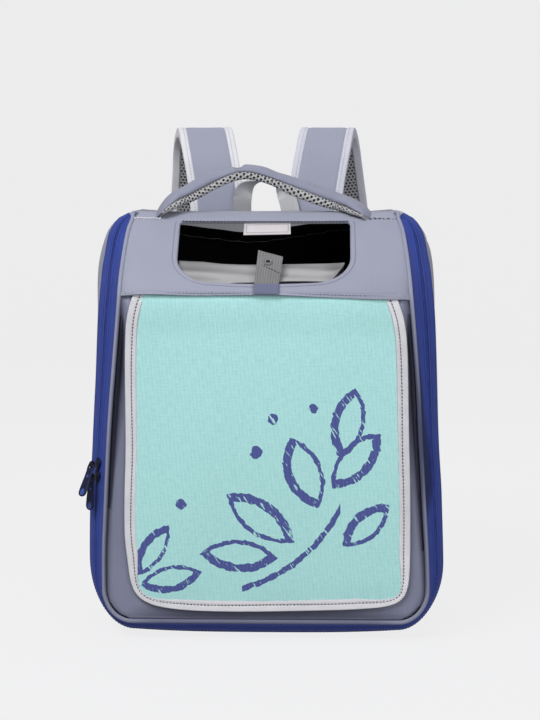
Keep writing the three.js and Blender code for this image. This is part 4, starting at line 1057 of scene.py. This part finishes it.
def buildTab():
    side = np.linspace(-1, 1, 49)
    up = np.concatenate([np.linspace(-8.5, 6, 14)[:-1], np.linspace(6, 1 * tab["high"], 60)])
    share = np.clip(up / tab["high"], 0, 1)
    reach = up[:, None] - tab["slant"] * side * share[:, None]
    centre = tab["base"] + (tab["top"] - tab["base"]) * share
    x = centre[:, None] + tab["half"] * (0.955 + 0.045 * share[:, None]) * side
    ribs = 0.28 * np.abs(np.sin(side * tab["ribs"] * np.pi / 2)) * (1 - 0.8 * smoothStep(24, 32, reach))
    curl = 1.8 * share[:, None] ** 3 * (1 + 0.5 * side)
    base = slopePoint(x, reach + window["knee"])
    normal = normalsOf(base)
    outer = base + normal * (tab["off"] + tab["thick"] / 2 + ribs + curl)[..., None]
    inner = base + normal * (tab["off"] - tab["thick"] / 2 + curl)[..., None]
    strip = addPiece("windowTab", gridFaces(np.concatenate([outer, inner[:, ::-1]], 1)), greyWebbing, ["window_tab"])
    rows = np.linspace(-9.0, 5.0, 20)
    side = np.linspace(-1, 1, 30)
    flat = slopePoint(tab["base"] + tab["half"] * side + 0 * rows[:, None], rows[:, None] + window["knee"] + 0 * side)
    normal = normalsOf(flat)
    edge = np.minimum((1 - np.abs(side)) * tab["half"], np.minimum(rows + 9, 5 - rows)[:, None])
    outer = flat + normal * (tab["off"] + 1.7 + 0.5 * (1 - np.exp(-edge / 0.8)))[..., None]
    inner = flat + normal * (tab["off"] + 1.3)
    loop = np.concatenate([outer, inner[:, ::-1]], 1)
    base = addPiece("tabBase", gridFaces(loop), tabCloth)

    middle = onSlope(stud["x"], stud["up"], tab["off"] + tab["thick"] / 2 + 1.1)
    turn = np.linspace(0, 2 * np.pi, 33)[:-1]
    profile = np.array([(0.05, 0.2), (2.2, 0.2), (2.3, 0.45), (2.5, 0.55), (2.9, 0.5), (3.3, 0.4), (3.6, 0.35), (3.9, 0.35),
                        (4.3, 0.35), (stud["radius"], 0.25), (stud["radius"], 0.0), (4.2, -0.2), (3.6, -0.2), (3.0, -0.2),
                        (2.0, -0.2), (1.2, -0.2), (0.6, -0.2), (0.05, -0.2)])
    ring = np.stack([np.cos(turn), np.sin(turn)], 1)
    grid = (middle + ring[:, None, :1] * profile[None, :, :1] * [1, 0, 0]
            + ring[:, None, 1:] * profile[None, :, :1] * slopeUp + profile[None, :, 1:] * slopeOut)
    snap = addPiece("tabStud", gridFaces(grid, wrapRows=True), studMetal, ["tab_snap"])
    at = np.arange(stud["prongs"]) * 2 * np.pi / stud["prongs"]
    spokes = np.cos(at)[:, None] * np.array([1, 0, 0]) + np.sin(at)[:, None] * slopeUp
    dots = [stitchesOn(middle + np.outer((3.2, 4.3), way) + 0.35 * slopeOut, slopeOut, 1.2, 1.2, 0.42, 0.3) for way in spokes]
    # painted shade: a dark disc laid on the stud's face stands in for its hole
    eye = grid[:, :2] * [1, 1, 1] + 0.12 * slopeOut
    eye = np.concatenate([eye, eye[:, ::-1] - 0.3 * slopeOut], 1)
    addPiece("tabStudEye", dots + [gridFaces(eye, wrapRows=True)], studHole)
    high = tab["off"] + tab["thick"] / 2 + 0.35
    lines = [onSlope(np.linspace(a[0], b[0], 30), np.linspace(a[1], b[1], 30), high + 0.5)
             for a, b in (((-0.5, 29.0), (15.5, 18.0)),)]
    addPiece("tabStitches", [stitchesOn(line, slopeOut, 2.0, 2.8, 0.4, 0.5) for line in lines], darkThread)

    side, rise = np.linspace(-1, 1, 60), np.linspace(-1, 1, 26)
    edge = np.minimum((1 - np.abs(side)) * patch["half"], (1 - np.abs(rise))[:, None] * patch["tall"])
    x = patch["x"] + patch["half"] * side * (1 - 0.012 * rise[:, None])
    up = patch["up"] + patch["tall"] * rise[:, None] + patch["tilt"] * patch["half"] * side
    swell = 0.7 * (1 - np.exp(-edge / 0.7)) - 0.5 * np.exp(-((edge - 2.4) / 0.5) ** 2) + 0.12 * np.sin(x * 2.7) * np.sin(up * 2.9)
    outer = onSlope(x, up, patch["out"] + swell)
    inner = onSlope(x, up, patch["out"] - patch["thick"] / 2 + 0 * swell)
    pad = addPiece("windowPatch", gridFaces(np.concatenate([outer, inner[:, ::-1]], 1)), patchLoop, ["window_patch"])
    a, b = patch["half"] - 2.4, patch["tall"] - 2.4
    square = np.array([(-a, -b), (a, -b), (a, b), (-a, b), (-a, -b)])
    square = resample(np.c_[square, np.zeros(5)], 120)
    line = onSlope(patch["x"] + square[:, 0], patch["up"] + square[:, 1] + patch["tilt"] * square[:, 0], patch["out"] + 0.45)
    addPiece("patchStitches", stitchesOn(line, slopeOut, 1.9, 2.6, 0.35, 0.3), greyThread)
    return [strip, base, snap, pad]


tabPieces = buildTab()
print("window pieces made")


# Carry handle: a padded cover over a rounded mesh underside

handle = {
    "roll": 8, "net": 3.9, "netDeep": 0.9, "notchAt": -26.6,
    "line": [(-105, -39, 404.5), (-101.4, -34.5, 409), (-95.2, -27, 414.6), (-87, -19, 420.2), (-75, -14, 426.1),
             (-61, -12, 433.4), (-51.3, -12, 438.4), (-39, -12, 444.3), (-27, -12, 448.2), (-17, -12, 448.6),
             (-7, -12, 446.6), (4, -12, 443.3), (33.7, -12, 431.3), (53, -12.5, 424), (73.3, -14, 416.8), (83, -20, 412.8),
             (90.1, -27, 409.2), (97, -34.5, 405.5), (101, -39, 402.5)],
    "coverHigh": [(-106, 0.05), (-102, 0.35), (-95.6, 0.85), (-87, 1.25), (-78, 1.42), (-60, 1.4), (-39.5, 1.0), (-27, 0.9), (4, 0.9),
                  (33.7, 1.25), (73, 1.35), (90, 1.1), (97, 0.65), (101, 0.2)],
    "meshHigh": [(-106, 0.12), (-102, 0.6), (-97, 1.0), (-90, 1.15), (-75, 1.2), (-51, 1.15), (-27, 1.3), (4, 1.15), (33.7, 1.5), (55, 1.4), (73, 1.2), (90, 0.8),
                 (101, 0.4)],
    "cover": [(-14.4, 1.4), (-15.6, 2.6), (-15.4, 4.2), (-13.5, 5.8), (-9, 7.0), (-3, 7.5), (3, 7.4), (9, 6.8),
              (13.5, 5.4), (15.4, 3.6), (15.4, 2.2), (14.0, 1.2), (7, 1.0), (0, 0.9), (-7, 1.0), (-12, 1.2)],
    "mesh": [(-15.0, 0.9), (-16.2, -0.6), (-16.4, -2.4), (-15.2, -4.4), (-12.0, -5.2), (-4, -5.0), (4, -5.0),
             (12.0, -5.2), (15.2, -4.2), (16.0, -2.2), (15.6, -0.4), (14.6, 0.7), (7, 0.6), (0, 0.5), (-7, 0.6)],
}
strap = {  # each row of its line: x on the left, x on the right, y and z
    "half": 28.6, "binding": 8.4, "net": 3.6, "netDeep": 0.7,
    "line": [(54.5, 46, 123, 365), (55, 46.5, 123, 395), (57.5, 49, 126, 430), (64.5, 55.5, 137, 468), (71.3, 61, 160, 490),
             (78, 66, 186, 479), (81.5, 72, 203, 440), (85.5, 78, 210, 395), (94, 85, 208, 320), (103, 93, 198, 240),
             (109, 99, 184, 170)],
}
webbing = {
    "half": 12.5, "thick": 1.8, "ribs": 6, "shift": -5,
    "line": [(107, 176, 140), (113, 160, 100), (122, 138, 60), (128, 121, 36), (129, 117, 26), (130, 117, 14)],
}
haul = {
    "half": 9.6, "thick": 2.0, "flat": 0.2,
    "line": [(-29, 113.5, 401), (-29, 113.5, 419.5), (-26.8, 113.8, 429.5), (-19, 114, 437), (-4, 114, 440.5),
             (8.5, 114, 437), (15.2, 113.8, 429.5), (19, 113.5, 419.5), (23, 113.5, 401)],
}


def closedProfile(points, count):
    # an even, rounded outline through the points of a section
    points = np.array(points, float)
    points = np.concatenate([points[-2:], points, points[:2]])
    line = lineThrough(np.c_[points, np.zeros(len(points))], 40 * len(points))[:, :2]
    start = np.argmin(np.linalg.norm(line[:len(line) // 2] - points[2], axis=1))
    end = len(line) // 2 + np.argmin(np.linalg.norm(line[len(line) // 2:] - points[-2], axis=1))
    return resample(np.c_[line[start:end + 1], np.zeros(end + 1 - start)], count + 1)[:-1, :2]


def netted(line, across, up, profile, pitch, deep):
    # a bar of spacer mesh: its section carried along, with a dent wherever the net has a hole
    grid = carry(line, across, up, profile)
    run = np.linalg.norm(np.diff(grid, axis=0), axis=-1).mean(1)
    around = np.linalg.norm(np.diff(np.concatenate([grid, grid[:, :1]], 1), axis=1), axis=-1).mean(0)
    u = np.concatenate([[0], np.cumsum(run)])
    v = np.concatenate([[0], np.cumsum(around)])[:-1]
    hole = smoothStep(0.0, 1.6, netHoles(u[:, None], v[None, :], pitch))
    centre = grid.mean(1, keepdims=True)
    inward = unit(np.cross(np.gradient(grid, axis=0), np.roll(grid, -1, 1) - np.roll(grid, 1, 1)))
    inward = np.where(np.sum(inward * (centre - grid), -1, keepdims=True) < 0, -inward, inward)
    return gridFaces(grid + inward * (deep * hole)[..., None])


def buildHandle():
    line = lineThrough(handle["line"], 420)
    across, up = framesOn(line, (0, 1, 0))
    roll = np.radians(handle["roll"])
    across, up = across * np.cos(roll) + up * np.sin(roll), up * np.cos(roll) - across * np.sin(roll)
    share = np.linspace(0, 1, len(line))
    end = smoothStep(-0.05, 0.09, np.minimum(share, 1 - share))[:, None]
    squash = lambda profile, high: np.stack([profile[:, 0] * (0.45 + 0.43 * end),
                                             profile[:, 1] * tableAt(handle[high], line[:, :1])], -1)
    lumps = 0.35 * np.sin(lengthsAlong(line) / 8.5)[:, None] + 0.25 * np.sin(lengthsAlong(line) / 3.7)[:, None]
    cloth = squash(closedProfile(handle["cover"], 48), "coverHigh")
    notch = -4.5 * np.exp(-((line[:, :1] - handle["notchAt"]) / 3.2) ** 2)
    cloth[..., 1] += (lumps * end + notch) * smoothStep(2.5, 6.5, cloth[..., 1])
    pad = addPiece("handleCover", gridFaces(carry(line, across, up, cloth)), handleCloth, ["handle_cover"])
    mesh = squash(closedProfile(handle["mesh"], 110), "meshHigh")
    net = addPiece("handleMesh", netted(line, across, up, mesh, handle["net"], handle["netDeep"]), airMesh,
                   ["handle_mesh"])
    return [pad, net]


def ribbedTape(line, across, up, half, thick, ribs):
    # a flat tape with shallow ribs along both its faces
    side = np.linspace(-1, 1, 41)
    rib = thick / 2 - 0.18 + 0.18 * np.abs(np.sin(side * ribs * np.pi / 2)) - 0.5 * np.clip(np.abs(side) - 0.93, 0, 1)
    profile = np.concatenate([np.stack([half * side, rib], 1), np.stack([half * side, -rib], 1)[::-1]])
    return gridFaces(carry(line, across, up, profile))


def buildCarrying():
    made = buildHandle()
    line = lineThrough(haul["line"], 160)
    turn = np.pi * np.clip((np.linspace(0, 1, 160) - haul["flat"]) / (1 - 2 * haul["flat"]), 0, 1)
    across, up = framesOn(line, np.stack([np.cos(turn), np.sin(turn), 0 * turn], 1))
    tape = ribbedTape(line, across, up, haul["half"], haul["thick"], 10)
    # painted shade: the left leg of the loop darker towards its foot
    shade = np.repeat(0.6 * smoothStep(-4, 16, -line[:, 0]) * smoothStep(-438, -412, -line[:, 2]), len(tape[0]) // len(line))
    made.append(addPiece("haulLoop", tape, paleWebbing, ["haul_loop"], shade=shade))
    for name, sign in (("left", -1), ("right", 1)):
        line = lineThrough([(-xLeft if sign < 0 else xRight, y, z) for xLeft, xRight, y, z in strap["line"]], 520)
        across, up = framesOn(line, (-1, 0, 0))
        inner = strap["half"] - strap["binding"]
        side = np.linspace(-1, 1, 40)
        crown = 6.2 + 0.5 * (1 - side ** 4) - 0.6 * np.exp(-(1 - np.abs(side)) * inner / 1.2)
        top = np.stack([side * (inner + 0.2), crown], 1)
        foot = np.stack([side * (inner + 0.2), 0.15 + 0 * side], 1)[::-1]
        pad = addPiece(f"strapCover.{name}", gridFaces(carry(line, across, up, np.concatenate([top, foot]))), lavender,
                       [f"strap_cover_{name}"])
        section = roundedBar(-inner - 0.2, inner + 0.2, -4.6, -0.1, 1.2, 5)
        section = resample(np.c_[np.concatenate([section, section[:1]]), np.zeros(len(section) + 1)], 97)[:-1, :2]
        made.append(addPiece(f"strapMesh.{name}", netted(line, across, up, section, strap["net"], strap["netDeep"]),
                             strapMesh, [f"strap_mesh_{name}"]))
        rows = []
        for place, way in (("inner", sign), ("outer", -sign)):
            low, high = sorted((way * inner, way * strap["half"]))
            edge = carry(line, across, up, roundedBar(low, high, -5.0, 6.3, 1.5, 6))
            made.append(addPiece(f"strapBinding.{place}.{name}", gridFaces(edge), rightStrapBinding if sign > 0 else binding,
                                 [f"strap_binding_{place}_{name}"]))
            rows.append(line + across * way * (inner + 3.4) + up * 6.3)
        sewing = [stitchesOn(row, up, 2.4, 3.5, 0.4, 0.3) for row in rows]
        made.append(addPiece(f"strapStitches.{name}", sewing, paleThread))
        lower = lineThrough([(sign * x + webbing["shift"], y, z) for x, y, z in webbing["line"]], 90)
        lowAcross, lowUp = framesOn(lower, (-1, 0, 0))
        tape = ribbedTape(lower, lowAcross, lowUp, webbing["half"], webbing["thick"], webbing["ribs"])
        made.append(addPiece(f"strapWebbing.{name}", tape, greyWebbing, [f"strap_webbing_{name}"]))
        block = np.linspace(line[-1], lower[0], 24)
        swell = np.sqrt(1 - np.linspace(-0.94, 0.94, 24) ** 4)[:, None, None]
        profile = roundedBar(-17, 17, -3.5, 3.5, 2.2, 5) * (0.8 + 0.2 * swell)
        ends = (np.repeat(across[-1:], 24, 0), np.repeat(up[-1:], 24, 0))
        made.append(addPiece(f"strapAdjuster.{name}", gridFaces(carry(block, *ends, profile)), navy,
                             [f"strap_adjuster_{name}"]))
        made.append(pad)
    return made


carrying = buildCarrying()
print("handle, loop and straps made")


# Sliders and their pulls, set on the joints of the frame

slider = {"half": 5.4, "long": 5.7, "high": 3.3, "ring": 2.5, "wire": 0.95, "wide": 1.5}
pull = {"loop": 3.3, "wire": 0.9, "neck": 3.6, "end": 32.6, "thick": 0.9,
        "halves": [(3.6, 3.4), (8, 4.0), (14, 4.2), (24, 4.9), (28, 5.0)], "ovals": [(28.2, 3.5, 2.5), (12.0, 1.6, 1.3)]}


def pullMaterial():
    # navy moulding with paler ovals pressed into it
    material, w, shader = newMaterial("pullPlastic", Specular_IOR_Level=0.2, Roughness=0.55)
    along, across = clothPlaces(w)
    oval = None
    for s, long, wide in pull["ovals"]:
        far = ((along - 100 - s) / long) ** 2.0 + ((across - 100) / wide) ** 2.0
        mask = 1.0 - far.between(0.75, 1.1)
        oval = mask if oval is None else oval.larger(mask)
    feed(w.blend(colour(16, 22, 54), colour(58, 77, 148), oval), shader, "Base Color")
    feed(bumpOf(w, w.noise(900.0, 2.0, w.make("TexCoord", output="Object")), 0.00004), shader, "Normal")
    return material


def ringOf(centre, first, second, third, path, sectionA, sectionB, sides=10):
    # a closed wire: a path in the plane of two directions, with an oval section turned along it
    line = centre + path[:, :1] * first + path[:, 1:] * second
    along = unit(np.roll(line, -1, 0) - np.roll(line, 1, 0))
    side = np.cross(along, third)
    angle = np.arange(sides) * 2 * np.pi / sides
    section = np.stack([sectionA * np.cos(angle), sectionB * np.sin(angle)], 1)
    return gridFaces(carry(line, side, np.broadcast_to(third, line.shape), section), True, True)


def buildSliders():
    pullPlastic = pullMaterial()
    made = []
    for joint in frame["record"]["behaviour"]["joints"]:
        place = joint["child"].split("_")[1]
        pivot = np.array(joint["pos_m"]) / mm
        axis = unit(np.array(joint["axis"]))
        near, far = seamLine(frontSeam, uSteps), seamLine(bandSeam, uSteps)
        left = np.argmin(np.linalg.norm((near + far) / 2 - pivot, axis=1))
        inBand = unit(far[left] - near[left])
        along = unit(near[left - 1] - near[left + 1])
        along = unit(along - inBand * np.dot(along, inBand))
        out = np.cross(inBand, along)
        out = out if np.dot(out, pivot - [0, 0, 205]) > 0 else -out
        foot = pivot - out * np.dot(pivot - near[left], out)
        levels = np.array([(0.2, 0.9), (0.6, 1.0), (1.9, 1.0), (2.6, 0.95), (3.1, 0.84), (slider["high"], 0.62)])
        turn = np.linspace(0, 2 * np.pi, 45)[:-1] + np.pi / 44
        blunt = lambda value: np.sign(value) * np.abs(value) ** 0.55
        outline = np.stack([slider["half"] * blunt(np.cos(turn)), slider["long"] * blunt(np.sin(turn))], 1)
        outline[:, 0] *= 0.86 + 0.14 * (outline[:, 1] / slider["long"]) ** 2
        flat = levels[:, 1, None, None] * outline
        block = foot + flat[..., :1] * inBand + flat[..., 1:] * along + levels[:, :1, None] * out
        circle = np.stack([np.cos(turn), np.sin(turn)], 1) * slider["ring"]
        square = unit(out - axis * np.dot(out, axis))
        eye = ringOf(pivot, square, np.cross(axis, square), axis, circle, slider["wire"], slider["wide"])
        made.append(addPiece(f"zipSlider.{place}", [gridFaces(block), eye], navy, [f"zip_slider_{place}"]))

        box = np.array(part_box(f"zip_pull_{place}")) / mm
        drop = box.reshape(2, 3).mean(0) - pivot
        down = unit(drop - axis * np.dot(drop, axis))
        face = np.cross(axis, down)
        s = np.concatenate([np.linspace(pull["neck"], 28, 34), 28 + (pull["end"] - 28) * np.sin(np.linspace(0, 1.5, 14)[1:])])
        half = tableAt(pull["halves"], s) * np.sqrt(np.clip(1 - (np.clip(s - 28, 0, 9) / (pull["end"] - 27.8)) ** 2, 0.02, 1))
        side = np.linspace(-1, 1, 31)
        dish = sum(0.4 * np.exp(-(((s[:, None] - at) / long) ** 2 + (half[:, None] * side / wide) ** 2) ** 2)
                   for at, long, wide in pull["ovals"])
        thick = pull["thick"] * (1 - 0.75 * np.abs(side) ** 6) * np.sqrt(half / 5)[:, None] - dish
        upper = np.stack([np.broadcast_to(s[:, None], thick.shape), half[:, None] * side, thick], -1)
        lower = upper[:, ::-1] * [1, 1, -1]
        local = np.concatenate([upper, lower], 1)
        slab = pivot + local[..., :1] * down + local[..., 1:2] * axis + local[..., 2:] * face
        t = np.linspace(0, 2 * np.pi, 49)[:-1]
        path = np.stack([3.6 + 3.6 * blunt(np.sin(t)), pull["loop"] * blunt(np.cos(t))], 1)
        loop = ringOf(pivot, down, axis, face, path, pull["wire"], pull["wire"], 8)
        parts = [gridFaces(slab, uv=local[..., :2] + 100), loop]
        made.append(addPiece(f"zipPull.{place}", parts, pullPlastic, [f"zip_pull_{place}"], joint["child"]))
    return made


sliders = buildSliders()
print("sliders and pulls made")


# Camera, floor and light

camera = {"azimuth": 1.7, "elevation": 5.0, "distance": 2.0, "aim": (0.0035, 0.0, 0.260), "focal": 1989, "tall": 720}
studio = {"grey": colour(238, 238, 239)}


def buildStage():
    data = bpy.data.cameras.new("camera")
    eye = bpy.data.objects.new("camera", data)
    bpy.context.scene.collection.objects.link(eye)
    az, el = math.radians(camera["azimuth"]), math.radians(camera["elevation"])
    back = Vector((math.sin(az) * math.cos(el), -math.cos(az) * math.cos(el), math.sin(el)))
    eye.location = Vector(camera["aim"]) + back * camera["distance"]
    eye.rotation_euler = (-back).to_track_quat("-Z", "Y").to_euler()
    data.sensor_width = 36
    data.lens = 36 * camera["focal"] / camera["tall"]
    bpy.context.scene.camera = eye

    # a floor that sweeps up into a backdrop
    across = np.linspace(-14, 14, 15)
    turn = np.linspace(0, np.pi / 2, 16)
    depth = np.concatenate([[-14, -2, 0, 2], 3 + 1.5 * np.sin(turn), [4.5]])
    height = np.concatenate([[0, 0, 0, 0], 1.5 * (1 - np.cos(turn)), [6]]) - 0.0005
    x, row = np.meshgrid(across, np.arange(len(depth)))
    points = np.stack([x, depth[row], height[row]], -1)
    index = np.arange(points.size // 3).reshape(points.shape[:2])
    quads = np.stack([index[:-1, :-1], index[:-1, 1:], index[1:, 1:], index[1:, :-1]], -1).reshape(-1, 4)
    mesh = bpy.data.meshes.new("floor")
    mesh.from_pydata(points.reshape(-1, 3).tolist(), [], quads.tolist())
    mesh.shade_smooth()
    material, w, shader = newMaterial("paleFloor", Roughness=0.9, Specular_IOR_Level=0.0)
    shader.inputs["Base Color"].default_value = colour(70, 70, 71)
    shader.inputs["Emission Color"].default_value = studio["grey"]
    shader.inputs["Emission Strength"].default_value = 0.95
    mesh.materials.append(material)
    floor = bpy.data.objects.new("floor", mesh)
    bpy.context.scene.collection.objects.link(floor)
    floor.visible_diffuse = False  # its glow stays off the cloth

    lights = [  # place, aim, width, height, watts
        ((-1.0, -1.8, 2.2), (0, 0, 0.25), 1.5, 1.2, 59),
        ((1.1, -2.3, 0.9), (0, 0, 0.22), 1.6, 1.2, 25),
        ((0.0, 1.4, 1.9), (0, 0.1, 0.4), 1.6, 0.8, 11),
    ]
    for number, (place, aim, wide, tall, watts) in enumerate(lights):
        data = bpy.data.lights.new(f"softbox{number}", "AREA")
        data.shape = "RECTANGLE"
        data.size, data.size_y, data.energy = wide, tall, watts
        lamp = bpy.data.objects.new(f"softbox{number}", data)
        lamp.location = place
        lamp.rotation_euler = (Vector(aim) - Vector(place)).to_track_quat("-Z", "Y").to_euler()
        bpy.context.scene.collection.objects.link(lamp)
    world = bpy.data.worlds.new("studio")
    world.use_nodes = True
    world.node_tree.nodes["Background"].inputs["Color"].default_value = studio["grey"]
    world.node_tree.nodes["Background"].inputs["Strength"].default_value = 0.35
    bpy.context.scene.world = world
    bpy.context.scene.view_settings.view_transform = "Standard"


buildStage()
print("stage made")
